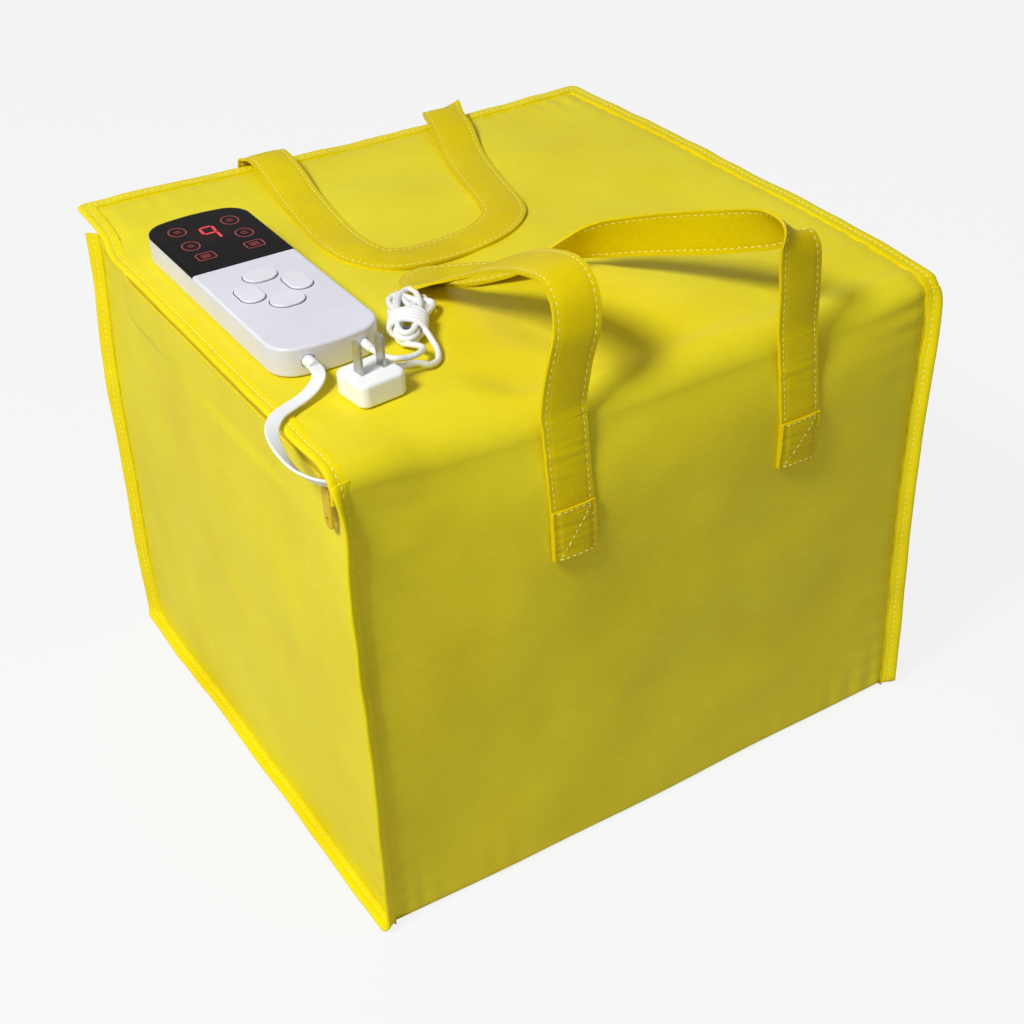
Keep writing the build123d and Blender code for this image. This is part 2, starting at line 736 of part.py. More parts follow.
def screw_places():
    out = []
    for sx in (-1, 1):
        for end in (-1, 1):
            y = handset_y + end * (handset_length / 2 - screw_inset)
            out.append((handset_x + sx * (handset_width / 2 - screw_inset), y))
    return out


def handset_screws():
    """Four screws from below, through the lower shell into the upper one."""
    screws = []
    for x, y in screw_places():
        head_z = handset_z + screw_head_sink + screw_head_t / 2
        head = Pos(x, y, head_z) * Cylinder(screw_head_r, screw_head_t)
        shank = Pos(x, y, head_z + screw_length / 2) * Cylinder(screw_r, screw_length)
        screws.append(head + shank)
    return Compound(children=screws)


def top_shell():
    outer = handset_block(handset_split_z, handset_t)
    outer = fillet(outer.edges().filter_by(Plane.XY).group_by(Axis.Z)[-1], handset_rim_r)
    room = handset_block(handset_split_z - 1, handset_t - handset_wall_t, handset_wall_t)
    shell = outer - room
    shell = shell - window_area(0.0, handset_t - window_t, handset_t + 1)
    width, length = (size + 2 * digit_opening for size in digit_size)
    digit_hole = Box(width, length, 3 * handset_wall_t)
    shell = shell - Pos(handset_x, upper_end_y - digit_below_end, handset_top - handset_wall_t) * digit_hole
    for _, x, y, along_x in button_places():
        hole = extrude(oval(button_gap, along_x), amount=handset_wall_t + 2)
        shell = shell - Pos(x, y, handset_top - handset_wall_t - 1) * hole
    low = board_z + board_t
    boss_height = handset_t - handset_wall_t - low
    boss = Cylinder(post_r, boss_height) - Pos(0, 0, (screw_bore_depth - boss_height) / 2) * Cylinder(
        screw_r, screw_bore_depth)
    for x, y in screw_places():
        shell = shell + Pos(x, y, handset_z + low + boss_height / 2) * boss
    return shell - gland_holes()


def gland_holes():
    holes = []
    for exit_point, diameter in ((control_exit, control_lead_d), (mains_exit, mains_lead_d)):
        hole = Rot(90, 0, 0) * Cylinder(diameter / 2 + gland_wall, 2 * (handset_end_bow + gland_inside))
        holes.append(Pos(exit_point[0], lower_end_y, gland_z) * hole)
    return holes[0] + holes[1]


def lead_gland(exit_point, diameter):
    """A tapered strain relief, thickest inside the shell."""
    x, y, z = exit_point
    length = lower_end_y + gland_inside - y
    cone = Rot(-90, 0, 0) * Cone(diameter / 2 + gland_tip_wall, diameter / 2 + gland_wall, length)
    return Pos(x, y + length / 2, z) * cone


def display_window():
    """The glossy window, flush in the upper shell and rounded with it."""
    plate = window_area(window_gap, handset_t - window_t, handset_t)
    return fillet(plate.edges().filter_by(Plane.XY).group_by(Axis.Z)[-1], window_t * 0.5)


def digit_display():
    """The one-digit display block, standing on the board behind the window."""
    low = handset_z + board_z + board_t
    high = handset_top - window_t
    height = high - digit_gap - low
    return Pos(handset_x, upper_end_y - digit_below_end, low + height / 2) * Box(*digit_size, height)


def circuit_board():
    board = handset_block(board_z, board_z + board_t, handset_wall_t + board_margin)
    keep = slab((handset_x - handset_width, handset_x + handset_width),
                (lower_end_y + board_short, upper_end_y + handset_end_bow), (handset_z, handset_top))
    board = board & keep
    for x, y in screw_places():
        board = board - Pos(x, y, handset_z + board_z) * Cylinder(screw_r + screw_clear, 4 * board_t)
    return board


def indicator_lamps():
    """Small lamps on the board, in two columns beside the digit."""
    lamps = []
    z = handset_z + board_z + board_t + lamp_size[2] / 2
    for below in lamp_rows:
        for side in (-1, 1):
            x = handset_x + side * lamp_column
            lamps.append(Pos(x, upper_end_y - below, z) * Box(*lamp_size))
    return Compound(children=lamps)


def relay():
    """The relay that switches the pad, under the board."""
    z = handset_z + board_z - relay_size[2] / 2
    return Pos(handset_x + relay_place[0], upper_end_y - relay_place[1], z) * Box(*relay_size)


def key_membrane():
    """The rubber sheet on the board with a dome under each button."""
    low = handset_z + board_z + board_t
    sheet = Pos(handset_x, buttons_y, low + membrane_t / 2) * Box(*membrane_size, membrane_t)
    for _, x, y, _ in button_places():
        dome = Pos(x, y, low + membrane_t + dome_t / 2) * Cylinder(post_r + dome_reach, dome_t)
        sheet = sheet + dome
    return sheet


# --------------------------------------------------------------------- plug
def plug_place(z):
    return Pos(plug_centre[0], plug_centre[1], z) * Rot(0, 0, plug_turn)


def plug_body():
    length, width, height = plug_size
    block = fillet(Box(length, width, height).edges().filter_by(Axis.Z), plug_corner_r)
    block = fillet(block.edges().filter_by(Plane.XY), plug_edge_r)
    neck_x = plug_neck_tip - plug_neck_length / 2
    neck = Rot(0, 90, 0) * Cone(plug_neck_r, mains_lead_d / 2 + gland_tip_wall, plug_neck_length)
    neck = Pos(neck_x, plug_neck_y, 0) * neck
    return plug_place(lid_seat + height / 2) * (block + neck)


def plug_pins():
    """Two flat pins, standing up from the plug's face as it lies on the lid."""
    pins = []
    for side in (-1, 1):
        pin = fillet(Box(*pin_size).edges().filter_by(Axis.X).sort_by(Axis.Z)[-2:], pin_tip_r)
        pins.append(Pos(side * pin_spacing / 2, 0, 0) * pin)
    base = lid_seat + plug_size[2] + pin_size[2] / 2
    return plug_place(base) * Compound(children=pins)


# ------------------------------------------------------------------- export
def make_parts():
    parts = {}
    for layer in layer_inset:
        parts["floor_" + layer] = floor_layer(layer)
        parts["front_" + layer] = end_wall_layer(layer, -1)
        parts["far_" + layer] = end_wall_layer(layer, 1)
        parts["left_" + layer] = side_wall_layer(layer, -1)
        parts["right_" + layer] = side_wall_layer(layer, 1)
        parts["lid_" + layer] = lid_layer(layer)
    parts["left_binding"] = side_binding(-1)
    parts["right_binding"] = side_binding(1)
    parts["lid_binding"] = lid_binding()
    parts["zip_tape_lower"], parts["zip_teeth_lower"] = zip_lower()
    parts["zip_tape_upper"], parts["zip_teeth_upper"] = zip_upper()
    parts["zip_slider"] = zip_slider()
    parts["zip_pull"] = zip_pull()
    parts["near_handle_ends"] = near_handle_ends()
    parts["far_handle_ends"] = far_handle_ends()
    parts["near_handle_loop"] = near_handle_loop()
    parts["far_handle_loop"] = far_handle_loop()
    parts["pad_cover"] = pad_cover()
    parts["heating_wire"] = heating_wire()
    parts["thermal_cutout"] = thermal_cutout()
    parts["temperature_probe"] = temperature_probe()
    parts["inner_lead"] = inner_lead()
    parts["handset_bottom_shell"] = bottom_shell()
    parts["handset_top_shell"] = top_shell()
    parts["display_window"] = display_window()
    parts["digit_display"] = digit_display()
    parts["indicator_lamps"] = indicator_lamps()
    parts["circuit_board"] = circuit_board()
    parts["relay"] = relay()
    parts["key_membrane"] = key_membrane()
    parts["handset_screws"] = handset_screws()
    for name, x, y, along_x in button_places():
        parts[name] = button(x, y, along_x)
    parts["control_lead_gland"] = lead_gland(control_exit, control_lead_d)
    parts["mains_lead_gland"] = lead_gland(mains_exit, mains_lead_d)
    parts["control_lead"] = control_lead()
    parts["mains_lead"] = mains_lead()
    parts["mains_lead_hank"] = mains_hank()
    parts["plug_body"] = plug_body()
    parts["plug_pins"] = plug_pins()
    return parts


os.makedirs("parts", exist_ok=True)
for node, shape in make_parts().items():
    export_step(shape, "parts/" + node + ".step")
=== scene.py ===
import math
import bpy
import bmesh
from mathutils import Matrix, Vector, noise


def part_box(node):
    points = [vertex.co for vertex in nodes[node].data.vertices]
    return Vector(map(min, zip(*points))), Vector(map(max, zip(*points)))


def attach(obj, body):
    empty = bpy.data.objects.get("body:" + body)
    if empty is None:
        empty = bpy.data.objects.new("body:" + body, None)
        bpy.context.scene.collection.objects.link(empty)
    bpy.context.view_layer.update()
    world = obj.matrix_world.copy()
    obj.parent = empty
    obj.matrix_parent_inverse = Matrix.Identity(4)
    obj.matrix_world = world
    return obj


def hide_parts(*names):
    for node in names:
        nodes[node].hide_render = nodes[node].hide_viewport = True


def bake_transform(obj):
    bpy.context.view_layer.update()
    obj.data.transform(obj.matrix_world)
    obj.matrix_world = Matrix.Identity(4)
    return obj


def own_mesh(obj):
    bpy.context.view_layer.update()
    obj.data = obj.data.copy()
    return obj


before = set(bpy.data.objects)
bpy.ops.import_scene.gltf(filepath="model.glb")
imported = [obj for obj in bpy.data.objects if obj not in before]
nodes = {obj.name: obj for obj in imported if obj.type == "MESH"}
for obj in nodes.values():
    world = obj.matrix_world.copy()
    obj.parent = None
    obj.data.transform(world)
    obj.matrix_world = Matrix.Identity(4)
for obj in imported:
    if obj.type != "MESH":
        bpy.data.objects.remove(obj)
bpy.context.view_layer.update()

mm = 0.001


def deselectAll():
    bpy.ops.object.select_all(action="DESELECT")


def started(name):   # takes up what a primitive operator has just added
    piece = bpy.context.object
    piece.name = name
    return piece


def pick(piece):   # the only selected and active object
    deselectAll()
    piece.select_set(True)
    bpy.context.view_layer.objects.active = piece


def smoothStep(low, high, value):
    share = min(1.0, max(0.0, (value - low) / (high - low)))
    return share * share * (3 - 2 * share)


def mix(first, second, share):
    return first + (second - first) * share


def editAll(piece, *steps):   # runs edit mode steps on the whole mesh
    pick(piece)
    bpy.ops.object.mode_set(mode="EDIT")
    bpy.ops.mesh.select_all(action="SELECT")
    for step in steps:
        step()
    bpy.ops.object.mode_set(mode="OBJECT")


def faceOutward():
    bpy.ops.mesh.normals_make_consistent(inside=False)


def finishShape(piece, smoothAngle=50):
    editAll(piece, faceOutward)
    bpy.ops.object.shade_smooth_by_angle(angle=math.radians(smoothAngle))
    return piece


def layPattern(piece, places, size):   # a UV map in metres, from each vertex's own place on the cloth
    layer = piece.data.uv_layers.active or piece.data.uv_layers.new(name="UVMap")
    for loop in piece.data.loops:
        u, v = places[loop.vertex_index]
        layer.data[loop.index].uv = (u * size[0] * mm, v * size[1] * mm)


def clothPiece(name, columns, rows, shape, size):   # shape(u, v, side) gives millimetres, side 0 is the outer face
    deselectAll()
    bpy.ops.mesh.primitive_grid_add(x_subdivisions=columns, y_subdivisions=rows, size=2)
    piece = started(name)
    editAll(piece, lambda: bpy.ops.mesh.extrude_region_move(TRANSFORM_OT_translate={"value": (0, 0, -1)}))
    places = [((v.co.x + 1) / 2, (v.co.y + 1) / 2) for v in piece.data.vertices]
    for vertex, (u, v) in zip(piece.data.vertices, places):
        vertex.co = Vector(shape(u, v, 0 if vertex.co.z > -0.5 else 1)) * mm
    layPattern(piece, places, size)
    return finishShape(piece)


def sweptPiece(name, frames, section, size):   # frames are (middle, out, up); section is a closed ring of (out, up)
    deselectAll()
    count = len(section)
    bpy.ops.mesh.primitive_grid_add(x_subdivisions=count, y_subdivisions=len(frames) - 1, size=2)
    piece = started(name)
    places = [((v.co.x + 1) / 2, (v.co.y + 1) / 2) for v in piece.data.vertices]
    for vertex, (u, v) in zip(piece.data.vertices, places):
        middle, out, up = frames[round(v * (len(frames) - 1))]
        across, height = section[round(u * count) % count]
        vertex.co = (middle + out * across + up * height) * mm
    layPattern(piece, places, size)
    editAll(piece, lambda: bpy.ops.mesh.remove_doubles(threshold=0.00001),
            lambda: bpy.ops.mesh.fill_holes(sides=0))
    return finishShape(piece)


def curvePiece(name, points, thickness, flatness=0.0, tilts=None, bevelSteps=4, lengthSteps=8):
    deselectAll()
    bpy.ops.curve.primitive_nurbs_path_add()
    piece = started(name)
    line = piece.data
    line.splines.clear()
    spline = line.splines.new("NURBS")
    spline.points.add(len(points) - 1)
    for number, point in enumerate(points):
        spline.points[number].co = (*(Vector(point) * mm), 1)
        if tilts:
            spline.points[number].tilt = math.radians(tilts[number])
    spline.order_u = 3
    spline.use_endpoint_u = True
    line.dimensions = "3D"
    line.twist_mode = "Z_UP" if flatness else "MINIMUM"
    line.bevel_depth = thickness / 2 * mm
    line.extrude = flatness / 2 * mm
    line.bevel_resolution = bevelSteps
    line.resolution_u = line.render_resolution_u = lengthSteps
    line.use_fill_caps = True
    return piece


def madeMesh(piece):   # turns a lead into a mesh; its own smooth line is given back
    thickness = piece.data.bevel_depth
    piece.data.bevel_depth = 0
    bare = bpy.data.meshes.new_from_object(piece)
    line = [vertex.co.copy() for vertex in bare.vertices]
    bpy.data.meshes.remove(bare)
    piece.data.bevel_depth = thickness
    pick(piece)
    bpy.ops.object.convert(target="MESH")
    return line


def joinPieces(name, made):
    pick(made[0])
    for piece in made:
        piece.select_set(True)
    bpy.ops.object.join()
    bpy.context.object.name = name
    return bpy.context.object


def slopeAt(route, number):   # the way a route runs at one of its points
    return route[min(number + 1, len(route) - 1)][0] - route[max(number - 1, 0)][0]


def smoothRoute(stations, steps):   # points and directions between given stations, rounded at each one
    route = []
    last = len(stations) - 1
    for number in range(last):
        near = [stations[min(max(number + k, 0), last)] for k in (-1, 0, 1, 2)]
        for step in range(steps if number < last - 1 else steps + 1):
            t = step / steps
            weights = (-t ** 3 / 2 + t ** 2 - t / 2, 1.5 * t ** 3 - 2.5 * t ** 2 + 1,
                       -1.5 * t ** 3 + 2 * t ** 2 + t / 2, t ** 3 / 2 - t ** 2 / 2)
            route.append(tuple(sum((Vector(s[k]) * w for s, w in zip(near, weights)), Vector())
                               for k in range(len(stations[0]))))
    return route


class Signal:   # a shader socket that takes part in sums
    def __init__(self, tree, socket=None):
        self.tree = tree
        self.socket = socket

    def node(self, kind, settings=None, inputs=None, output=0):
        made = self.tree.nodes.new(kind)
        for name, value in (settings or {}).items():
            if name == "stops":
                ramp = made.color_ramp
                while len(ramp.elements) < len(value):
                    ramp.elements.new(1.0)
                for element, (place, colour) in zip(ramp.elements, value):
                    element.position = place
                    element.color = (*colour, 1) if len(colour) == 3 else colour
            else:
                setattr(made, name, value)
        for name, value in (inputs or {}).items():
            if isinstance(value, Signal):
                self.tree.links.new(value.socket, made.inputs[name])
            else:
                made.inputs[name].default_value = value
        return Signal(self.tree, made.outputs[output])

    def sum(self, operation, first, second=0.0):
        return self.node("ShaderNodeMath", {"operation": operation}, {0: first, 1: second})

    def __add__(self, other): return self.sum("ADD", self, other)
    def __radd__(self, other): return self.sum("ADD", other, self)
    def __sub__(self, other): return self.sum("SUBTRACT", self, other)
    def __rsub__(self, other): return self.sum("SUBTRACT", other, self)
    def __mul__(self, other): return self.sum("MULTIPLY", self, other)
    def __rmul__(self, other): return self.sum("MULTIPLY", other, self)
    def __lt__(self, other): return self.sum("LESS_THAN", self, other)

    def blend(self, first, second):   # colours mixed by this signal
        return self.node("ShaderNodeMix", {"data_type": "RGBA"}, {0: self, 6: first, 7: second}, output=2)

    def scaled(self, factor):   # a vector made longer
        return self.node("ShaderNodeVectorMath", {"operation": "MULTIPLY"}, {0: self, 1: factor})

    def ranged(self, low, high, first=0.0, last=1.0, curve="LINEAR"):
        return self.node("ShaderNodeMapRange", {"interpolation_type": curve},
                         {"Value": self, "From Min": low, "From Max": high, "To Min": first, "To Max": last})

    def bumped(self, strength, distance):   # this signal as a height in metres
        return self.node("ShaderNodeBump", {}, {"Strength": strength, "Distance": distance, "Height": self})


def colour(red, green, blue):   # from the everyday 0 to 255 scale
    return tuple(((c / 255 + 0.055) / 1.055) ** 2.4 if c > 10 else c / 255 / 12.92 for c in (red, green, blue)) + (1,)


def dimmed(tint, share):
    return tuple(c * share for c in tint[:3]) + (1,)


def newFinish(name, **fixed):   # fixed values go on the shader's own sockets
    material = bpy.data.materials.new(name)
    material.use_nodes = True
    tree = material.node_tree
    shader = tree.nodes["Principled BSDF"]
    for socket, value in fixed.items():
        shader.inputs[socket.replace("_", " ")].default_value = value
    start = Signal(tree)
    return material, shader, start, start.node("ShaderNodeTexCoord", output=3)


def feed(start, shader, **signals):
    for socket, signal in signals.items():
        start.tree.links.new(signal.socket, shader.inputs[socket.replace("_", " ")])


def wear(piece, finish, slot):
    piece.data.materials.clear()
    piece.data.materials.append(finish)


def fit(piece, finish, slot, body=None, *standsFor):   # finish, slot, body and the CAD nodes that a piece replaces
    wear(piece, finishes[finish], slot)
    if body:
        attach(piece, body)
    if standsFor:
        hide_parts(*standsFor)


def speckle(start, place, scale, detail=3.0, stretch=None):
    where = place.scaled(stretch) if stretch else place
    return start.node("ShaderNodeTexNoise", {}, {"Vector": where, "Scale": scale, "Detail": detail,
                                                 "Roughness": 0.55})


def clothFinish(name, light, dark, roughness, press=0.35, dotPitch=1.9, specular=0.2):
    # spun cloth: lying fibres, small pressed dots in staggered rows, faint clouding
    material, shader, start, inObject = newFinish(name, Specular_IOR_Level=specular)
    place = start.node("ShaderNodeTexCoord", output=2)
    fibres = speckle(start, place, 900.0, 4.0, (1.0, 0.35, 1.0))
    across = speckle(start, place, 700.0, 3.0, (0.3, 1.0, 1.0))
    clouds = speckle(start, inObject, 14.0, 3.0)
    turned = start.node("ShaderNodeMapping", {}, {"Vector": place, "Rotation": (0, 0, math.radians(45)),
                                                  "Scale": (1 / (dotPitch * mm),) * 3})
    dots = start.node("ShaderNodeTexVoronoi", {"feature": "F1", "distance": "CHEBYCHEV"},
                      {"Vector": turned, "Scale": 1.0, "Randomness": 0.08})
    pressed = dots.ranged(0.22, 0.34, 1.0, 0.0, "SMOOTHSTEP")
    tone = clouds * 0.55 + fibres * 0.25 + across * 0.2
    base = (pressed * 0.07).blend(tone.ranged(0.36, 0.64).blend(dark, light), dimmed(dark, 0.82))
    bump = (fibres * 0.5 + across * 0.35 - pressed * press * 1.3).bumped(0.35, 0.00012)
    rough = roughness + (fibres - 0.5) * 0.16 + pressed * -0.1
    feed(start, shader, Base_Color=base, Roughness=rough, Normal=bump)
    return material


yellow = {"lid": (colour(241, 227, 38), colour(230, 211, 24)), "strap": (colour(233, 211, 6), colour(216, 190, 0)),
          "binding": (colour(248, 231, 10), colour(236, 213, 4)), "tape": (colour(214, 190, 14), colour(188, 160, 6))}
finishes = {
    "cloth": clothFinish("spun_cloth_yellow", *yellow["lid"], 0.5),
    "strap": clothFinish("strap_cloth_yellow", *yellow["strap"], 0.5, specular=0.1),
    "binding": clothFinish("binding_cloth_yellow", *yellow["binding"], 0.5, specular=0.12),
    "tape": clothFinish("zip_tape_yellow", *yellow["tape"], 0.62, 0.2, 1.1),
    "padCloth": clothFinish("pad_cloth_grey", colour(206, 207, 210), colour(178, 180, 186), 0.6),
}
print("finishes for cloth are made")

# camera
cameraSet = {"place": (-0.42297, -0.73515, 0.68659), "turn": (55.748, 1.9265, -31.8618), "lens": 57.3255}
bpy.ops.object.camera_add(location=cameraSet["place"], rotation=[math.radians(a) for a in cameraSet["turn"]])
camera = bpy.context.object
camera.data.lens = cameraSet["lens"]
camera.data.sensor_width = 36
camera.data.clip_start, camera.data.clip_end = 0.01, 50
bpy.context.scene.camera = camera
bpy.context.scene.view_settings.view_transform = "Standard"


def whitePlastic(name, tint, roughness, grain=0.00004):   # moulded plastic with a fine spark-etched skin
    material, shader, start, inObject = newFinish(name, Specular_IOR_Level=0.45)
    fine = speckle(start, inObject, 1800.0, 2.0)
    clouds = speckle(start, inObject, 30.0, 2.0)
    feed(start, shader, Base_Color=clouds.ranged(0.35, 0.65).blend(dimmed(tint, 0.95), tint),
         Roughness=roughness + (fine - 0.5) * 0.12, Normal=fine.bumped(0.25, grain))
    return material


finishes["lead"] = whitePlastic("lead_vinyl_white", colour(244, 246, 246), 0.38)
finishes["innerLead"] = whitePlastic("inner_lead_vinyl", colour(226, 226, 222), 0.42)

# leads
controlLead = {"width": 7.0, "thickness": 1.5, "length": 102}
controlRoute = [   # points as the part's own route
    (-150.0, -91.0, 304.3), (-150.0, -96.4, 304.0), (-154.6, -102.0, 301.7), (-163.4, -107.0, 299.8),
    (-174.0, -111.0, 299.4), (-183.0, -116.0, 300.0), (-190.0, -125.0, 299.2), (-193.0, -137.0, 297.0),
    (-192.0, -150.3, 292.4), (-187.8, -159.4, 289.9), (-181.8, -165.0, 288.2), (-177.0, -166.8, 287.3)]
controlTilt = [90, 90, 88, 86, 84, 80, 72, 60, 48, 40, 38, 38]
lead = curvePiece("control_lead_ribbon", controlRoute, controlLead["thickness"],
                  controlLead["width"] - controlLead["thickness"], controlTilt)
fit(lead, "lead", "white_lead", "lid", "control_lead")
Vector(controlRoute[0]) * mm

mainsLead = {"diameter": 3.2, "length": 1.0, "loops": 6, "wraps": 4.4, "pointsPerLoop": 14}
hank = {"centre": (-88.0, -72.0), "turn": 58.0, "base": 296.3,
        "reach": (27.5, 33.5, 24.5, 30.5, 35.0, 26.0),     # how far each loop runs at the open end
        "root": (19.0, 17.0, 20.0, 17.5, 18.5, 16.0),      # and at the tied end
        "half": (8.2, 6.4, 8.0, 5.8, 7.0, 5.6),            # half widths
        "fan": (5.5, -4.0, -7.5, 8.0, 1.5, -5.0),          # sideways at the open end
        "level": (2.2, 3.4, 5.6, 6.8, 8.2, 9.2)}


def hankPoint(along, across, height):
    turn = math.radians(hank["turn"])
    return (hank["centre"][0] + along * math.cos(turn) - across * math.sin(turn),
            hank["centre"][1] + along * math.sin(turn) + across * math.cos(turn), hank["base"] + height)


def hankLoops():
    points = []
    per = mainsLead["pointsPerLoop"]
    for number in range(mainsLead["loops"]):
        for step in range(per):
            turn = 2 * math.pi * step / per + math.pi * 0.85
            follow = (number + step / per) / mainsLead["loops"] * (mainsLead["loops"] - 1)
            low = int(follow)
            high = min(low + 1, mainsLead["loops"] - 1)
            sized = {key: mix(hank[key][low], hank[key][high], smoothStep(0.75, 1.0, follow - low))
                     for key in ("reach", "root", "half", "fan", "level")}
            reach = sized["reach"] if math.cos(turn) > 0 else sized["root"]
            along = reach * math.copysign(abs(math.cos(turn)) ** 0.7, math.cos(turn))
            waist = 1 - 0.32 * math.exp(-((along + 6) / 9) ** 2)   # the wraps draw the strands in
            across = sized["half"] * math.sin(turn) * waist + sized["fan"] * smoothStep(2, 24, along)
            lift = 2.3 * math.exp(-((along + 6) / 10) ** 2) - 0.6 * smoothStep(8, 26, along) * number / 2
            points.append(hankPoint(along, across, max(1.7, sized["level"] + lift)))
    return points


def hankWraps():
    points = []
    per = 12
    for step in range(int(mainsLead["wraps"] * per)):
        turn = 2 * math.pi * step / per + math.pi * 0.5
        along = 1.5 - 14.5 * step / (mainsLead["wraps"] * per)
        points.append(hankPoint(along + 1.1 * math.sin(turn + 0.6), 9.4 * math.cos(turn), 7.3 + 5.7 * math.sin(turn)))
    return points


mainsRoute = [(-119.0, -91.0, 304.3), (-119.0, -97.5, 304.3), (-115.6, -105.2, 304.0), (-107.4, -109.2, 303.8),
              (-99.0, -106.4, 303.5), (-95.2, -101.0, 302.8)]
mainsRoute += hankLoops() + hankWraps()
mainsRoute += [(-86.8, -97.9, 298.9), (-89.3, -105.1, 298.2), (-93.5, -111.2, 298.0), (-100.0, -113.8, 299.3),
               (-106.4, -112.2, 302.8), (-113.8, -113.0, 302.8)]
lead = curvePiece("mains_lead_white", mainsRoute, mainsLead["diameter"], bevelSteps=3, lengthSteps=5)
fit(lead, "lead", "white_lead", "lid", "mains_lead", "mains_lead_hank")
Vector(mainsRoute[0]) * mm

innerLead = {"diameter": 3.6, "length": 305}
innerRoute = [(-167.3, -162.3, 274.4), (-166.7, -162.3, 222.4), (-167.3, -161.7, 166.4), (-166.7, -162.3, 110.4),
              (-167.3, -161.9, 52.7), (-166.1, -158.8, 23.7), (-163.7, -149.3, 10.9), (-161.7, -137.3, 8.7),
              (-157.8, -126.3, 8.7), (-152.3, -120.0, 8.7), (-145.3, -120.0, 8.7)]
innerTube = curvePiece("inner_lead_round", innerRoute, innerLead["diameter"])
innerLine = madeMesh(innerTube)
fit(innerTube, "innerLead", "white_lead", "root", "inner_lead")
Vector(innerRoute[0]) * mm
print("leads are laid")

# how the soft bag has settled
bag = {"halfWidth": 176.0, "halfDepth": 171.0, "top": 296.0, "foldTop": 284.0, "rim": 278.4, "foldRadius": 12.0,
       "baseRadius": 5.0, "cloth": 1.0, "foam": 6.0, "foil": 6.6}     # depths of each layer's inner face
settled = {"wander": 1.6, "wanderSize": 95.0, "dents": 2.0, "dentSize": 62.0, "pucker": 0.75, "puckerPitch": 15.0,
           "seamReach": 9.0, "cornerIn": 1.3, "foldSlump": 11.0, "foldReach": 34.0, "foldRun": 34.0,
           "lidSag": 3.2}
pulls = [   # corner, how far it has moved, how wide the pull reaches
    ((176, -171, 296), (3.5, -1.5, -6.5), 70), ((176, -171, 0), (6.0, 4.0, 0), 120),
    ((-176, 171, 296), (6.0, 0, 4.0), 90), ((176, 171, 296), (-4.0, -1.0, 1.0), 90),
    ((-176, 171, 0), (-2.0, -5.0, 0), 100), ((10, -171, 296), (0, 0, -2.0), 110)]
restingPlaces = [((-178, -94), (-88, 100)), ((-154, -96), (-136, -84)), ((-106, -56), (-112, -44))]   # x and y spans
sliderPlace = Vector((-174.7, -157.0, 280.0))


def ripple(point, size, seed):
    return noise.noise(Vector(point) / size + Vector((seed, seed * 1.7, -seed)))


def calm(point):   # 0 where something hard lies on the cloth, 1 a little way off
    away = smoothStep(14, 48, (Vector(point) - sliderPlace).length)
    if point[2] > 250:
        for (x0, x1), (y0, y1) in restingPlaces:
            aside = max(x0 - point[0], point[0] - x1, y0 - point[1], point[1] - y1, 0)
            away = min(away, smoothStep(0, 30, aside))
    return away


def shiftAt(point):
    place = Vector(point)
    size = settled["wanderSize"]
    shift = Vector(ripple(point, size, seed) for seed in (3.1, 11.7, 23.9)) * settled["wander"]
    for corner, pull, reach in pulls:
        shift += Vector(pull) * math.exp(-((place - Vector(corner)).length / reach) ** 2)
    away = math.hypot(place.y + bag["halfDepth"], place.z - bag["top"]) / settled["foldReach"]
    held = mix(0.25, 1.0, smoothStep(0, 75, bag["halfWidth"] - abs(place.x)))   # the seams hold its two ends up
    shift += Vector((0, 0.7, -0.7)) * (held * settled["foldSlump"] * math.exp(-away ** 2))   # the worn fold is round
    shift *= calm(point)
    shift.z *= smoothStep(0, 60, place.z)
    return shift


def dent(point, edge):   # height of the loose cloth's rises and hollows
    big = ripple(point, settled["dentSize"], 41.3) * settled["dents"]
    small = ripple(point, settled["dentSize"] * 0.37, 7.9) * settled["dents"] * 0.22
    return (big + small) * smoothStep(2, 70, edge)


def pucker(along, edge, seed):   # small gathers beside a seam
    reach = settled["seamReach"]
    swell = edge / reach * math.exp(1 - edge / reach)
    wave = math.sin(2 * math.pi * along / settled["puckerPitch"] + 5 * ripple((along, seed, 0), 40, seed))
    return settled["pucker"] * swell * wave * (0.55 + 0.9 * ripple((along, 0, seed), 30, seed + 5))


def squeezed(depth, edge):   # layers are pressed thin where a seam binds them
    thin = mix(0.28, 1.0, smoothStep(0, 13, edge))
    clear = bag["cloth"] + 0.45
    return depth if depth <= bag["cloth"] else clear + (depth - clear) * thin


def crown(u, v, lift=1.0):   # 0 at the edges, 1 in the middle; lift moves the fullest place up
    v = max(0.0, min(1.0, v)) ** lift
    u = max(0.0, min(1.0, u))
    return (4 * u * (1 - u)) ** 0.75 * (4 * v * (1 - v)) ** 0.75


def acrossShare(place, half):   # 0 at one edge, 1 at the other
    return (place + half) / (2 * half)


swell = {"front": 6.5, "far": 3.5, "left": 2.2, "right": 3.0}   # how far each wall stands out


def wallOut(wall, along, up):   # how far the settled cloth stands out from the flat wall
    side = -1 if wall in ("front", "left") else 1
    endWall = wall in ("front", "far")
    half = bag["halfWidth"] if endWall else bag["halfDepth"]
    point = (along, side * bag["halfDepth"], up) if endWall else (side * bag["halfWidth"], along, up)
    edgeSide = half - abs(along)
    u = acrossShare(along, half)
    if wall == "front":     # full right up to the fold, where the cloth runs on into the lid
        out = swell[wall] * crown(u, 0.5) * max(0.0, math.sin(math.pi / 2 * min(1.0, up / bag["foldTop"]))) ** 1.2
        edge = min(edgeSide, up)
    else:
        out = swell[wall] * crown(u, up / bag["rim"], 1.1)
        edge = min(edgeSide, bag["rim"] - up, up)
    out += dent(point, edge) + pucker(up, edgeSide, 3.0 + side) + pucker(along, max(up, 0), 9.0 + side)
    out -= settled["cornerIn"] * (1 - smoothStep(0, 11, edgeSide))
    return out * calm(point)


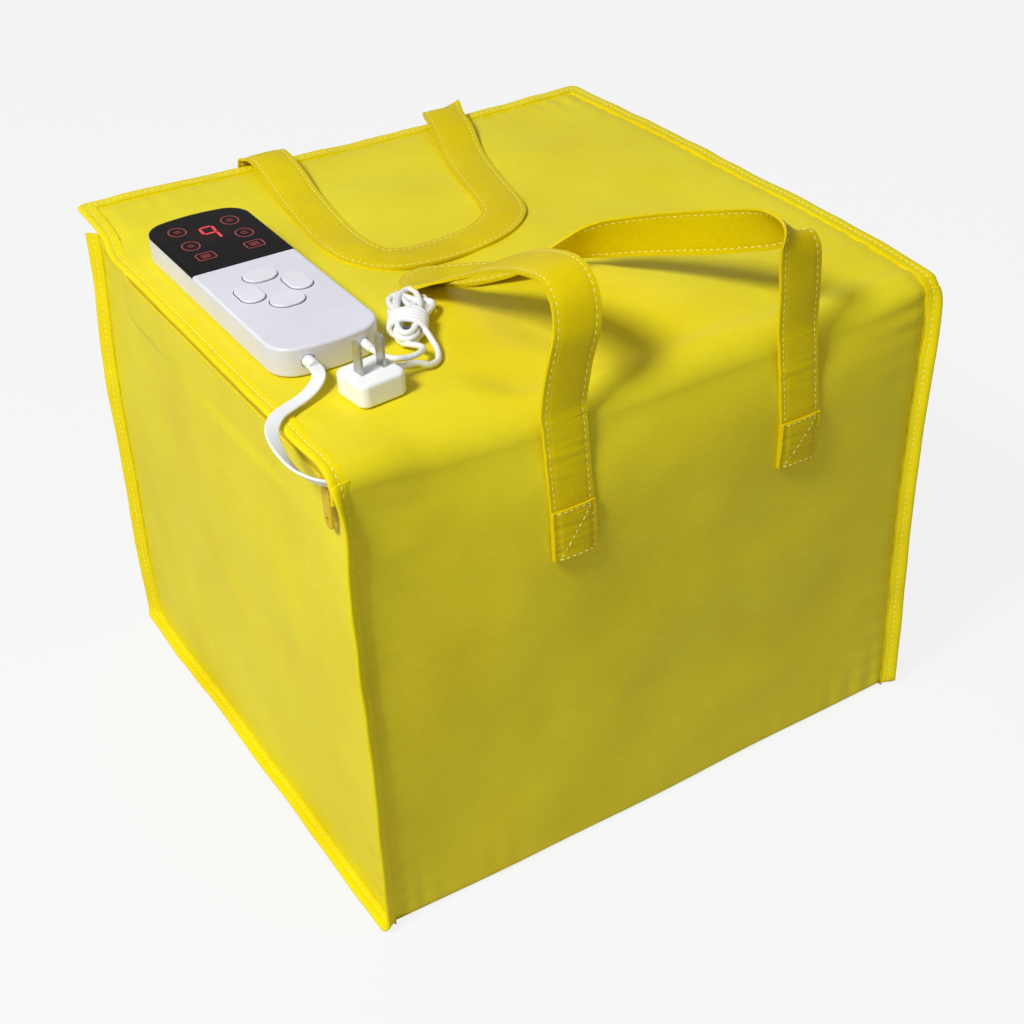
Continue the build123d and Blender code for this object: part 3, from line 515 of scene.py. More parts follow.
def wallPoint(wall, along, up, depth):   # the settled place of a point on or inside a wall
    endWall = wall in ("front", "far")
    side = -1 if wall in ("front", "left") else 1
    half = bag["halfWidth"] if endWall else bag["halfDepth"]
    edgeTop = 99 if wall == "front" else bag["rim"] - up
    bound = min(half - abs(along), edgeTop, 99 if endWall else up)
    point = (along, side * bag["halfDepth"], up) if endWall else (side * bag["halfWidth"], along, up)
    out = wallOut(wall, along, up)
    if endWall and up < bag["baseRadius"]:
        radius = bag["baseRadius"]
        out -= radius - math.sqrt(max(0.0, radius ** 2 - (radius - up) ** 2))
    outward = Vector((0, side, 0)) if endWall else Vector((side, 0, 0))
    return Vector(point) + outward * (out - squeezed(depth, bound)) + shiftAt(point)


def lidPoint(x, along, depth):   # along runs from the foot of the fold back to the far edge
    radius = bag["foldRadius"]
    arc = radius * math.pi / 2
    if along < arc:
        turn = along / radius
        normal = Vector((0, -math.cos(turn), math.sin(turn)))
        point = Vector((x, -bag["halfDepth"] + radius, bag["foldTop"])) + normal * radius
    else:
        normal = Vector((0, 0, 1))
        point = Vector((x, -bag["halfDepth"] + radius + along - arc, bag["top"]))
    edgeSide = bag["halfWidth"] - abs(x)
    edgeFar = bag["halfDepth"] - point.y
    bound = min(edgeSide, edgeFar)
    fromFold = smoothStep(0, settled["foldRun"], along)
    out = dent(point, bound) + pucker(bag["foldTop"] + along, edgeSide, 2.0) + pucker(x, edgeFar, 27.0)
    u, v = acrossShare(x, bag["halfWidth"]), acrossShare(point.y, bag["halfDepth"])
    out += mix(swell["front"] * crown(u, 0.5), -settled["lidSag"] * crown(u, v), fromFold)
    out -= settled["cornerIn"] * (1 - smoothStep(0, 11, bound))
    return point + normal * (out * calm(point) - squeezed(depth, bound)) + shiftAt(point)


def floorPoint(x, y, depth):
    edge = bag["halfWidth"] - abs(x)
    return Vector((x, y, squeezed(depth, edge))) + shiftAt((x, y, 0))


def gather(share, packed=0.72):   # puts more rows near both ends, where the cloth bends most
    return share - packed * math.sin(2 * math.pi * share) / (2 * math.pi)


layers = {   # outer and inner depth of each layer
    "panel": (0.0, bag["cloth"]), "foam": (bag["cloth"] + 0.6, bag["foam"] - 0.2), "liner": (bag["foam"], bag["foil"])}
insets = {"panel": 0.0, "foam": 2.2, "liner": 2.9}   # how far each layer's edge stays from the seam
grain = {"panel": (84, 72), "foam": (58, 50), "liner": (76, 66)}


def foamFinish():
    material, shader, start, inObject = newFinish("foam_sheet_white", Specular_IOR_Level=0.25)
    cells = start.node("ShaderNodeTexVoronoi", {"feature": "DISTANCE_TO_EDGE"}, {"Vector": inObject, "Scale": 900.0})
    clouds = speckle(start, inObject, 40.0)
    base = clouds.blend(colour(226, 224, 214), colour(240, 239, 232))
    feed(start, shader, Base_Color=base, Roughness=0.7 + clouds * 0.15, Normal=cells.bumped(0.4, 0.0003))
    return material


def foilFinish():   # aluminised film: fine crinkles over shallow pressed squares
    material, shader, start, inObject = newFinish("silver_foil_lining", Specular_IOR_Level=0.5)
    place = start.node("ShaderNodeTexCoord", output=2)
    crinkle = start.node("ShaderNodeTexVoronoi", {"feature": "DISTANCE_TO_EDGE"},
                         {"Vector": inObject + speckle(start, inObject, 60.0).scaled((0.01,) * 3), "Scale": 95.0})
    soft = speckle(start, inObject, 140.0, 5.0)
    grid = start.node("ShaderNodeTexBrick", {"offset": 0.0},
                      {"Vector": place, "Scale": 60.0, "Mortar Size": 0.05, "Brick Width": 1.0, "Row Height": 1.0},
                      output=1)
    bump = (crinkle * 2.2 + soft * 0.8 - grid * 0.35).bumped(0.5, 0.0006)
    base = soft.blend(colour(176, 178, 182), colour(226, 228, 230))
    feed(start, shader, Base_Color=base, Roughness=0.24 + soft * 0.22, Metallic=0.94 - grid * 0.1, Normal=bump)
    return material


finishes["foam"] = foamFinish()
finishes["foil"] = foilFinish()
layerLook = {"panel": ("cloth", "yellow_cloth"), "foam": ("foam", "foam"), "liner": ("foil", "silver_lining")}

# walls, floor and lid
foldTravel = 215.0


def foldDown(piece, top, base=0.0):   # gives the piece a mesh of its own
    base * mm
    (top - base - foldTravel) / (top - base)
    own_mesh(piece)


foldDown(innerTube, bag["foldTop"])


def declareLayer(piece, layer, flat):
    finish, slot = layerLook[layer]
    wear(piece, finishes[finish], slot)
    if layer == "foam":
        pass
    else:
        tuple(round(side * mm, 4) for side in flat)


for layer, depths in layers.items():
    columns, rows = grain[layer]
    inset = insets[layer]
    for wall in ("front", "far", "left", "right"):
        half = bag["halfWidth"] if wall in ("front", "far") else bag["halfDepth"]
        top = bag["foldTop"] if wall == "front" else bag["rim"]
        foot = bag["foil"] if layer == "foam" else inset
        reach = half - inset - (4.5 if layer == "foam" and wall in ("left", "right") else 0.0)
        shape = lambda u, v, side: wallPoint(wall, mix(-reach, reach, gather(u)), mix(foot, top, gather(v)),
                                             depths[side])
        piece = clothPiece(wall + "_" + layer + "_soft", columns, rows, shape, (2 * reach, top - foot))
        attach(piece, "root")
        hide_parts(wall + "_" + layer)
        under = 12.0 if wall == "front" and layer != "panel" else 0.0
        foldDown(piece, top - under, foot)
        declareLayer(piece, layer, (2 * reach, top - foot))
    depth = 168.5 if layer == "panel" else 166.0
    width = bag["halfWidth"] - inset
    shape = lambda u, v, side: floorPoint(mix(-width, width, gather(u)), mix(-depth, depth, gather(v)), depths[side])
    piece = clothPiece("floor_" + layer + "_soft", columns // 2, rows // 2, shape, (2 * width, 2 * depth))
    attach(piece, "root")
    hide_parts("floor_" + layer)
    declareLayer(piece, layer, (2 * width, 2 * depth))
    long = bag["foldRadius"] * math.pi / 2 + 330.0
    shape = lambda u, v, side: lidPoint(mix(-width, width, gather(u)), mix(0, long - inset, v ** 1.35), depths[side])
    piece = clothPiece("lid_" + layer + "_soft", columns, rows + 24, shape, (2 * width, long))
    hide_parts("lid_" + layer)
    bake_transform(piece)
    declareLayer(piece, layer, (2 * width, long))
print("walls, floor and lid are up")

# bindings
binding = {"wave": 0.7, "waveSize": 21.0, "flutter": 0.8, "stitchOut": 2.3, "foldSeam": 10.9}
halfX, halfY, seamZ = bag["halfWidth"], bag["halfDepth"], bag["top"] - 1.3
tapeSection = [(-2.2, -1.1), (1.1, -1.3), (2.3, -0.95), (3.4, -1.3), (5.0, -1.35), (6.4, -1.05), (7.05, -0.45),
               (7.05, 0.45), (6.4, 1.05), (5.0, 1.35), (3.4, 1.3), (2.3, 0.95), (1.1, 1.3), (-2.2, 1.1)]


def bindingFrames(stations, steps, seed, loose=1.0):   # stations are (seam point, outward direction)
    route = smoothRoute(stations, steps)
    frames = []
    run = 0.0
    for number, (middle, out) in enumerate(route):
        slope = slopeAt(route, number)
        up = slope.normalized().cross(out).normalized()
        run += slope.length / 2
        sway = loose * binding["wave"] * ripple((run, seed, 0), binding["waveSize"], seed)
        reach = 1 + 0.07 * loose * ripple((run, 0, seed), 33, seed + 2) * binding["flutter"]
        frames.append((middle + shiftAt(middle) + up * sway, out * reach, up))
    return frames


def uprightSeam(side, end, heights):
    lean = Vector((side, end, 0)).normalized()
    return [(Vector((side * halfX, end * halfY, z)), lean) for z in heights]


def station(x, y, z, *out):   # a seam point and its outward direction
    return Vector((x, y, z)), Vector(out)


bindingRows = {}
for side, name in ((-1, "left"), (1, "right")):
    down = [bag["foldTop"] - 14.0 * k for k in range(20)]
    edge = side * halfX
    stations = [station(side * 175.6, -169.6, 289.5, side, -0.12, 0),     # tucked under the lid's tape
                station(edge, -170.4, 286, side * 0.97, -0.3, 0), station(edge, -171, 280, side * 0.88, -0.5, 0)]
    stations += uprightSeam(side, -1, down[1:-1] + [12, 6])
    stations += [station(edge, -170.6, 2.6, side * 0.93, -0.5, 0), station(edge, -168, 1.35, side, -0.32, 0)]
    stations += [station(edge, y, 1.35, side, 0, 0) for y in range(-156, 157, 13)]
    stations += [station(edge, 168, 1.35, side, 0.32, 0), station(edge, 170.6, 2.6, side * 0.93, 0.5, 0)]
    stations += uprightSeam(side, 1, [6, 12] + [z for z in down[::-1] if 20 < z < 278] + [bag["rim"]])
    frames = bindingFrames(stations, 4, 2.0 + side)
    piece = sweptPiece(name + "_binding_tape", frames, tapeSection, (30, 1150))
    fit(piece, "binding", "yellow_binding", "root", name + "_binding")
    foldDown(piece, bag["foldTop"])
    bindingRows[name] = frames

foldTurns = [math.radians(a) for a in (-24, 0, 22, 45, 68)]


def foldSeam(side, turns):   # round the near fold, where the lid's tape begins and ends
    radius = binding["foldSeam"]
    return [station(side * halfX, bag["foldRadius"] - halfY - radius * math.cos(t),
                    bag["foldTop"] + radius * math.sin(t), side * 1.05, -0.1, 0) for t in turns]


farCorner = [station(173, 171, seamZ, 0.3, 1.04, 0), station(175.6, 170.6, seamZ, 0.86, 0.86, 0),
             station(176, 168, seamZ, 1.04, 0.3, 0)]
stations = foldSeam(-1, foldTurns) + [station(-halfX, y, seamZ, -1, 0, 0) for y in range(-157, 160, 14)]
stations += [station(-place.x, place.y, seamZ, -out.x, out.y, 0) for place, out in farCorner[::-1]]
stations += [station(x, halfY, seamZ, 0, 1, 0) for x in range(-161, 162, 14)] + farCorner
stations += [station(halfX, y, seamZ, 1, 0, 0) for y in range(157, -158, -14)] + foldSeam(1, foldTurns[::-1])
bindingRows["lid"] = bindingFrames(stations, 4, 6.0)
piece = sweptPiece("lid_binding_tape", bindingRows["lid"], tapeSection, (30, 1050))
fit(piece, "binding", "yellow_binding", None, "lid_binding")
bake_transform(piece)
print("bindings are sewn on")


def threadFinish():
    material, shader, start, inObject = newFinish("thread_pale_yellow", Sheen_Weight=0.2)
    twist = speckle(start, inObject, 1500.0, 1.0)
    feed(start, shader, Base_Color=twist.blend(colour(246, 232, 120), colour(255, 248, 176)),
         Roughness=0.5 + twist * 0.2)
    return material


finishes["thread"] = threadFinish()


def scatterPiece(name, spots, segments, rings):   # one small bead modelled once and set at every spot
    deselectAll()
    bpy.ops.mesh.primitive_uv_sphere_add(segments=segments, ring_count=rings, radius=0.5)
    piece = started(name)
    bead = piece.data
    shape = bmesh.new()
    for place, along, across, up in spots:
        turned = Matrix((along, across, up)).transposed()
        first = len(shape.verts)
        shape.from_mesh(bead)
        shape.verts.ensure_lookup_table()
        for vertex in shape.verts[first:]:
            vertex.co = (place + turned @ vertex.co) * mm
    made = bpy.data.meshes.new(name)
    shape.to_mesh(made)
    shape.free()
    piece.data = made
    bpy.data.meshes.remove(bead)
    pick(piece)
    bpy.ops.object.shade_smooth()
    return piece


def alongRows(rows, pitch, start=0.5):   # (place, direction, normal) at every pitch
    for row in rows:
        due = pitch * start
        for (a, normal), (b, _) in zip(row, row[1:]):
            run = (b - a).length
            while run > 1e-6 and due <= run:
                yield a.lerp(b, due / run), (b - a).normalized(), normal
                due += pitch
            due -= run


def stitchPiece(name, rows, slot, pitch=4.0, long=2.9, thick=0.55):   # rows are lists of (point, normal) in order
    spots = []
    for place, along, normal in alongRows(rows, pitch):
        across = normal.cross(along).normalized()
        spots.append((place, along * long, across * thick, along.cross(across) * thick))
    piece = scatterPiece(name, spots, 6, 4)
    wear(piece, finishes["thread"], slot)
    return piece


def bothSides(frames):   # a row of stitches on each side of a binding
    return [[(middle + out * binding["stitchOut"] + up * side, up * side) for middle, out, up in frames]
            for side in (-1.0, 1.0)]


for name in ("left", "right"):
    piece = stitchPiece(name + "_binding_stitches", bothSides(bindingRows[name]), "yellow_binding")
    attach(piece, "root")
    foldDown(piece, bag["foldTop"])
piece = stitchPiece("lid_binding_stitches", bothSides(bindingRows["lid"]), "yellow_binding")
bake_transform(piece)

# handles
strap = {"width": 26.0, "thick": 1.7, "hem": 2.6, "camber": 0.7, "nearLegs": (-60.0, 84.0), "farLegs": (-58.0, 78.0),
         "patchFoot": 210.0, "patchTop": 242.0, "stitchLine": 10.4}


def strapFrames(stations, steps):
    route = smoothRoute(stations, steps)
    frames = []
    for number, (middle, across) in enumerate(route):
        along = slopeAt(route, number).normalized()
        across = (across - along * across.dot(along)).normalized()
        frames.append((middle, across, across.cross(along).normalized()))
    return frames


def strapAt(frames, share, across, lift, seed=0.0):
    place = share * (len(frames) - 1)
    low = min(int(place), len(frames) - 2)
    middle, side, up = (frames[low][k].lerp(frames[low + 1][k], place - low) for k in range(3))
    edge = strap["width"] / 2 - abs(across)
    bow = strap["camber"] * (1 - (2 * across / strap["width"]) ** 2)
    crease = 0.55 * ripple((share * 500, across * 0.5, seed), 17, seed + 0.3) * smoothStep(0, 0.05, share) * smoothStep(
        0, 0.05, 1 - share)
    thick = lift * (1.0 - 0.28 * math.exp(-((edge - strap["hem"]) / 0.9) ** 2))   # the stitch line lies in a groove
    return middle + side * across + up * (bow + crease + thick), up


def runLength(frames):
    return sum((b[0] - a[0]).length for a, b in zip(frames, frames[1:]))


def strapPiece(name, frames, rows, seed, length, share=1.0, lift=0.0):   # share is how much of the frames it covers
    half = strap["width"] / 2
    shape = lambda u, v, side: strapAt(frames, v * share, half * (2 * u - 1), strap["thick"] * (0.5 - side) + lift,
                                       seed)[0]
    piece = clothPiece(name, 18, rows, shape, (strap["width"], length))
    bevelEdges(piece)
    return piece


def bevelEdges(piece):   # softens the cut edges of a strap
    pick(piece)
    bevel = piece.modifiers.new("soft edge", "BEVEL")
    bevel.width = 0.45 * mm
    bevel.segments = 2
    bevel.limit_method = "ANGLE"
    bevel.angle_limit = math.radians(60)
    bpy.ops.object.modifier_apply(modifier=bevel.name)
    bpy.ops.object.shade_smooth_by_angle(angle=math.radians(50))


def strapLine(frames, seed, ends, sides, lift, count):   # a straight line of stitches; ends are shares of the run
    return [strapAt(frames, mix(*ends, k / count), mix(*sides, k / count), lift, seed) for k in range(count + 1)]


def strapRows(frames, seed, count):   # along both edges, on both faces
    rows = []
    for across in (-strap["stitchLine"], strap["stitchLine"]):
        for lift in (0.5, -0.5):
            row = strapLine(frames, seed, (0.0, 1.0), (across, across), strap["thick"] * lift * 0.95, count)
            rows.append(row if lift > 0 else [(point, -up) for point, up in row])
    return rows


def loopStations(legs, shares, loop):
    left, right = legs
    return [station(left + over * (right - left), loop["edgeY"] + back * loop["reach"],
                    loop["lies"] + up * loop["rise"], *across) for (over, back, up), across in shares]


nearShares = [
    ((0, 0, -0.074), (1, 0, 0)), ((0.021, -0.003, 0.259), (1, 0, 0.05)), ((0.056, -0.003, 0.63), (1, 0, 0.1)),
    ((0.076, 0.04, 0.889), (1, 0.1, 0.12)), ((0.09, 0.134, 1), (1, 0.2, 0.12)), ((0.097, 0.282, 0.926), (1, 0.2, 0.1)),
    ((0.097, 0.456, 0.741), (1, 0.15, 0.08)), ((0.083, 0.617, 0.5), (1, 0.05, 0.05)),
    ((0.049, 0.758, 0.278), (1, -0.1, 0)), ((0.014, 0.872, 0.111), (1, -0.2, 0)),
    ((0.028, 0.96, 0.048), (0.7, -0.72, 0)), ((0.097, 1, 0.041), (0.1, -1, 0)), ((0.222, 0.96, 0.044), (-0.3, -1, 0)),
    ((0.389, 0.886, 0.067), (-0.4, -1, 0.25)), ((0.542, 0.792, 0.194), (-0.35, -0.75, 0.9)),
    ((0.653, 0.685, 0.315), (-0.25, -0.3, 1)), ((0.757, 0.523, 0.463), (-0.2, -0.15, 1)),
    ((0.854, 0.336, 0.611), (-0.15, -0.1, 1)), ((0.938, 0.161, 0.759), (-0.3, -0.1, 1)),
    ((0.972, 0.047, 0.852), (-0.8, 0, 0.75)), ((0.986, 0.003, 0.704), (-1, 0, 0.25)),
    ((0.993, -0.003, 0.37), (-1, 0, 0)), ((1, 0, -0.074), (-1, 0, 0))]
nearLoop = {"reach": 149.0, "rise": 54.0, "edgeY": -172.2, "lies": bag["top"]}


def settledBack(stations):   # what lies on the cloth follows it
    radius = bag["foldRadius"]
    moved = []
    for middle, across in stations:
        if middle.y > -165:
            surface = lidPoint(middle.x, middle.y + halfY - radius + radius * math.pi / 2, 0.0)
            middle = middle + Vector((0, 0, surface.z - bag["top"])) * smoothStep(16, 3, middle.z - bag["top"])
        moved.append((middle, across))
    return moved


def hangAt(x, z):   # above its patch the strap hangs straight, clear of the cloth's slump
    foot, top = strap["patchTop"], 288.0
    return wallPoint("front", x, foot, -0.95).lerp(Vector((x, -172.6, top)), (z - foot) / (top - foot))


stations = loopStations(strap["nearLegs"], nearShares, nearLoop)
for end, x in zip((0, -1), strap["nearLegs"]):
    stations[end] = (hangAt(x, 291.0), stations[end][1])
footLeft, footRight = ((hangAt(x, bag["foldTop"]), Vector((way, 0, 0))) for x, way in zip(strap["nearLegs"], (1, -1)))
stations = [footLeft] + stations + [footRight]
nearFrames = strapFrames(settledBack(stations), 10)
piece = strapPiece("near_handle_strap", nearFrames, 190, 4.0, runLength(nearFrames))
fit(piece, "strap", "yellow_strap", None, "near_handle_loop")
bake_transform(piece)
piece = stitchPiece("near_handle_stitches", strapRows(nearFrames, 4.0, 300), "yellow_strap")
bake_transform(piece)

farShares = [
    ((0.007, -0.009, 0.485), (-1, 0, 0)), ((0.022, 0.053, 1), (-1, 0.05, 0)), ((0.007, 0.2, 0.632), (-1, 0.1, 0)),
    ((-0.022, 0.388, 0.147), (-1, 0.12, 0)), ((-0.051, 0.624, 0), (-1, 0.1, 0)), ((-0.066, 0.788, 0), (-1, 0.05, 0)),
    ((-0.051, 0.894, 0), (-0.85, -0.5, 0)), ((0.022, 0.971, 0), (-0.45, -0.9, 0)), ((0.162, 1, 0), (0.05, -1, 0)),
    ((0.353, 0.988, 0), (0.15, -1, 0)), ((0.529, 0.953, 0), (0.4, -0.9, 0)), ((0.647, 0.882, 0), (0.85, -0.5, 0)),
    ((0.699, 0.788, 0), (1, -0.25, 0)), ((0.757, 0.588, 0), (1, -0.22, 0)), ((0.831, 0.365, 0.147), (1, -0.22, 0)),
    ((0.904, 0.188, 0.632), (1, -0.2, 0)), ((0.949, 0.053, 1), (1, -0.12, 0)), ((0.985, -0.009, 0.485), (1, 0, 0))]
farLoop = {"reach": -170.0, "edgeY": 178.0, "foldY": 180.3, "foldZ": 291.4, "lies": 297.2, "rise": 6.8}
footing = [(farLoop["foldY"], farLoop["foldZ"]), (farLoop["foldY"], farLoop["foldZ"] + 4.0)]
stations = [station(strap["farLegs"][0], *foot, -1, 0, 0) for foot in footing] + loopStations(
    strap["farLegs"], farShares, farLoop) + [station(strap["farLegs"][1], *foot, 1, 0, 0) for foot in footing[::-1]]
farFrames = strapFrames(settledBack(stations), 9)
piece = strapPiece("far_handle_strap", farFrames, 170, 9.0, runLength(farFrames))
fit(piece, "strap", "yellow_strap", None, "far_handle_loop")
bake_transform(piece)
piece = stitchPiece("far_handle_stitches", strapRows(farFrames, 9.0, 280), "yellow_strap")
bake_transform(piece)


def legStations(wall, x):   # up the wall from the foot of the patch to where the free loop begins
    way = 1 if wall == "front" else -1
    across = Vector((way, 0, 0))
    low = [210, 218, 227, 236] + ([] if wall == "front" else [245, 255, 264])
    route = [(wallPoint(wall, x, z, -0.95), across) for z in low]
    if wall == "front":
        return route + [(hangAt(x, z), across) for z in (244, 254, 264, 274, 284)]
    return route + [station(x, y, z, way, 0, 0) for y, z in ((172.4, 273), (178.5, 284), (180.3, 291.4))]


def patchRows(frames, lift):   # a box of stitches with one slanting line
    top = 30.5 / runLength(frames)
    foot = top * 0.06
    line = strap["stitchLine"]
    corners = [(-line, foot), (line, foot), (line, top), (-line, top), (-line, foot)]
    return [strapLine(frames, 2.0, (s, t), (a, b), lift, 12)
            for (a, s), (b, t) in [*zip(corners, corners[1:]), ((1 - line, foot * 1.6), (line - 1, top * 0.96))]]


for wall, legs, node in (("front", strap["nearLegs"], "near"), ("far", strap["farLegs"], "far")):
    made, rows = [], []
    for number, x in enumerate(legs):
        frames = strapFrames(legStations(wall, x), 6)
        share = (strap["patchTop"] - strap["patchFoot"]) / runLength(frames)
        made += [strapPiece(node + "_leg_" + str(number), frames, 50, 2.0, 80),
                 strapPiece(node + "_hem_" + str(number), frames, 24, 2.0, 32, share, strap["thick"] * 0.98)]
        rows += patchRows(frames, strap["thick"] * 1.47)
        rows += [strapLine(frames, 2.0, (share, 1.0), (across, across), strap["thick"] * 0.47, 40)
                 for across in (-strap["stitchLine"], strap["stitchLine"])]
    piece = joinPieces(node + "_handle_sewn_ends", made)
    fit(piece, "strap", "yellow_strap", "root", node + "_handle_ends")
    foldsAt = bag["foldTop"] if wall == "front" else farLoop["foldZ"]
    foldDown(piece, foldsAt)
    piece = stitchPiece(node + "_handle_end_stitches", rows, "yellow_strap", 3.6, 2.6)
    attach(piece, "root")
    foldDown(piece, foldsAt)
print("handles are sewn on")

# zip
zipper = {"x": 174.7, "farY": 169.7, "pitch": 1.9, "lowerStart": -164.1, "upperStart": -139.0, "rightEnd": -168.6,
          "lowerTape": (277.9, 282.3), "upperTape": (285.3, 290.2), "lowerTeeth": 283.05, "upperTeeth": 284.75,
          "tooth": (0.95, 2.6, 1.9)}


def zipStations(z, start):   # left side, far side, right side
    x, y, last = zipper["x"], zipper["farY"], 22
    shares = [k / last for k in range(last + 1)]
    route = [station(-x, mix(start, y - 4, share), z, -1, 0, 0) for share in shares]
    route += [station(-x + 1.2, y - 1.2, z, -0.7, 0.7, 0)]
    route += [station(mix(-x + 4, x - 4, share), y, z, 0, 1, 0) for share in shares]
    route += [station(x - 1.2, y - 1.2, z, 0.7, 0.7, 0)]
    return route + [station(x, mix(y - 4, zipper["rightEnd"], share), z, 1, 0, 0) for share in shares]


for level, body, start in (("lower", "rim", zipper["lowerStart"]), ("upper", "lid", zipper["upperStart"])):
    low, high = zipper[level + "Tape"]
    half = (high - low) / 2
    section = [(-0.4, -half), (0.4, -half), (0.5, -half * 0.4), (0.5, half * 0.4), (0.4, half), (-0.4, half),
               (-0.5, half * 0.4), (-0.5, -half * 0.4)]
    piece = sweptPiece("zip_tape_" + level + "_woven", bindingFrames(zipStations((low + high) / 2, start), 4, 3.0, 0.0),
                       section, (8, 1000))
    fit(piece, "tape", "zip_tape", body, "zip_tape_" + level)
    spots = []
    row = [(middle, up) for middle, out, up in bindingFrames(zipStations(zipper[level + "Teeth"], start), 4, 3.0, 0.0)]
    tooth = zipper["tooth"]
    for place, along, up in alongRows([row], zipper["pitch"], 0.5 if level == "lower" else 1.0):
        across = up.cross(along).normalized()
        spots.append((place, along * tooth[0], across * tooth[1], up * tooth[2]))
    piece = scatterPiece("zip_teeth_" + level + "_coils", spots, 8, 4)
    fit(piece, "tape", "zip_teeth", body, "zip_teeth_" + level)
print("zip is in")

# heating pad
pad = {"width": 290.0, "depth": 280.0, "base": 6.9, "thick": 6.6, "seam": 6.0, "corner": 12.0, "rowPitch": 24.0,
       "firstRow": -99.0, "rows": 9, "groove": 1.9}


def padPlace(u, v):   # the pad's plan with round corners
    halfWidth, halfDepth, r = pad["width"] / 2, pad["depth"] / 2, pad["corner"]
    x, y = mix(-halfWidth, halfWidth, gather(u)), mix(-halfDepth, halfDepth, gather(v, 0.5))
    dx, dy = (max(0.0, abs(x) - halfWidth + r) / r, max(0.0, abs(y) - halfDepth + r) / r)
    if dx > 0 and dy > 0:
        x = math.copysign(halfWidth - r + r * dx * math.sqrt(1 - dy * dy / 2), x)
        y = math.copysign(halfDepth - r + r * dy * math.sqrt(1 - dx * dx / 2), y)
    return x, y, min(halfWidth - abs(x), halfDepth - abs(y))


def padShape(u, v, side):
    x, y, edge = padPlace(u, v)
    if side:
        return x, y, pad["base"]
    full = smoothStep(pad["seam"] - 1.5, pad["seam"] + 15, edge)
    row = (y - pad["firstRow"]) / pad["rowPitch"]
    across = 1 - math.cos(math.pi * row) ** 2
    channel = across ** 6 * pad["groove"] * full if abs(row - pad["rows"] / 2) < 5 else 0
    top = 1.7 + (pad["thick"] - 1.7) * full - channel
    top += 0.5 * ripple((x, y, 0), 24, 5.5) * full
    return x, y, pad["base"] + min(top, pad["thick"] + 0.4)


piece = clothPiece("pad_cover_quilted", 90, 150, padShape, (pad["width"], pad["depth"]))
fit(piece, "padCloth", "pad_cloth", "root", "pad_cover")
rows = []
for number in range(-1, pad["rows"]):
    y = pad["firstRow"] + (number + 0.5) * pad["rowPitch"]
    v = next(k / 600 for k in range(601) if padPlace(0.5, k / 600)[1] >= y)
    rows.append([(Vector(padShape(mix(0.06, 0.94, k / 80), v, 0)) + Vector((0, 0, 0.1)), Vector((0, 0, 1)))
                 for k in range(81)])
hemX, hemY = pad["width"] / 2 - 3.2, pad["depth"] / 2 - 3.2
hemLine = [(-hemX + 6, -hemY), (hemX - 6, -hemY), (hemX, -hemY + 6), (hemX, hemY - 6), (hemX - 6, hemY),
           (-hemX + 6, hemY), (-hemX, hemY - 6), (-hemX, -hemY + 6), (-hemX + 6, -hemY)]
rows.append([(Vector((x, y, pad["base"] + 1.8)), Vector((0, 0, 1))) for x, y in hemLine])
piece = stitchPiece("pad_stitches", rows, "pad_cloth")
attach(piece, "root")
print("heating pad is quilted")


def metal(name, tint, roughness, brushed=(1.0, 1.0, 1.0)):
    material, shader, start, inObject = newFinish(name)
    streak = speckle(start, inObject, 900.0, 3.0, brushed)
    worn = speckle(start, inObject, 90.0, 2.0)
    feed(start, shader, Base_Color=worn.blend(dimmed(tint, 0.9), tint), Roughness=roughness + streak * 0.14,
         Metallic=0.97 - worn * 0.05, Normal=streak.bumped(0.2, 0.00003))
    return material


def paintedMetal(name, tint, edgeTint, roughness):   # enamel, rubbed thin in places
    material, shader, start, inObject = newFinish(name, Specular_IOR_Level=0.3, Coat_Roughness=0.25)
    mottled = speckle(start, inObject, 420.0, 4.0)
    mask = mottled.ranged(0.6, 0.72, curve="SMOOTHSTEP")
    feed(start, shader, Base_Color=mask.blend(tint, edgeTint), Roughness=roughness + mottled * 0.15,
         Coat_Weight=0.12 - mask * 0.1, Normal=mottled.bumped(0.3, 0.00005))
    return material


def glossBlack():   # the display window, with the faint red light of the digit behind it
    material, shader, start, inObject = newFinish("display_window_black", Specular_IOR_Level=0.03,
                                                  Coat_Roughness=0.03, Emission_Strength=1.0)
    fine = speckle(start, inObject, 500.0, 2.0)
    low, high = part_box("digit_display")
    near = inObject.node("ShaderNodeVectorMath", {"operation": "DISTANCE"},
                         {0: inObject, 1: tuple((low + high) / 2)}, output=1)
    glow = near.ranged(0.004, 0.017, 1.0, 0.0, "SMOOTHSTEP")
    feed(start, shader, Base_Color=fine.blend(colour(5, 5, 7), colour(11, 11, 14)), Roughness=0.1 + fine * 0.08,
         Coat_Weight=0.015 + fine * 0.02, Emission_Color=glow.blend((0, 0, 0, 1), (0.012, 0.0004, 0.0006, 1)))
    return material


def lit(name, tint, level):   # a lamp's light seen through the dark window
    material, shader, start, inObject = newFinish(name, Emission_Strength=level)
    fine = speckle(start, inObject, 1600.0, 2.0)
    feed(start, shader, Base_Color=fine.blend(tint, tint), Emission_Color=fine.blend(dimmed(tint, 0.7), tint),
         Roughness=0.3 + fine * 0.1)
    return material


def boardGreen():
    material, shader, start, inObject = newFinish("circuit_board_green", Specular_IOR_Level=0.5)
    tracks = start.node("ShaderNodeTexVoronoi", {"feature": "DISTANCE_TO_EDGE", "distance": "MANHATTAN"},
                        {"Vector": inObject, "Scale": 260.0})
    mask = tracks < 0.05
    feed(start, shader, Base_Color=mask.blend(colour(18, 92, 48), colour(40, 130, 72)), Roughness=0.35 + mask * 0.15)
    return material


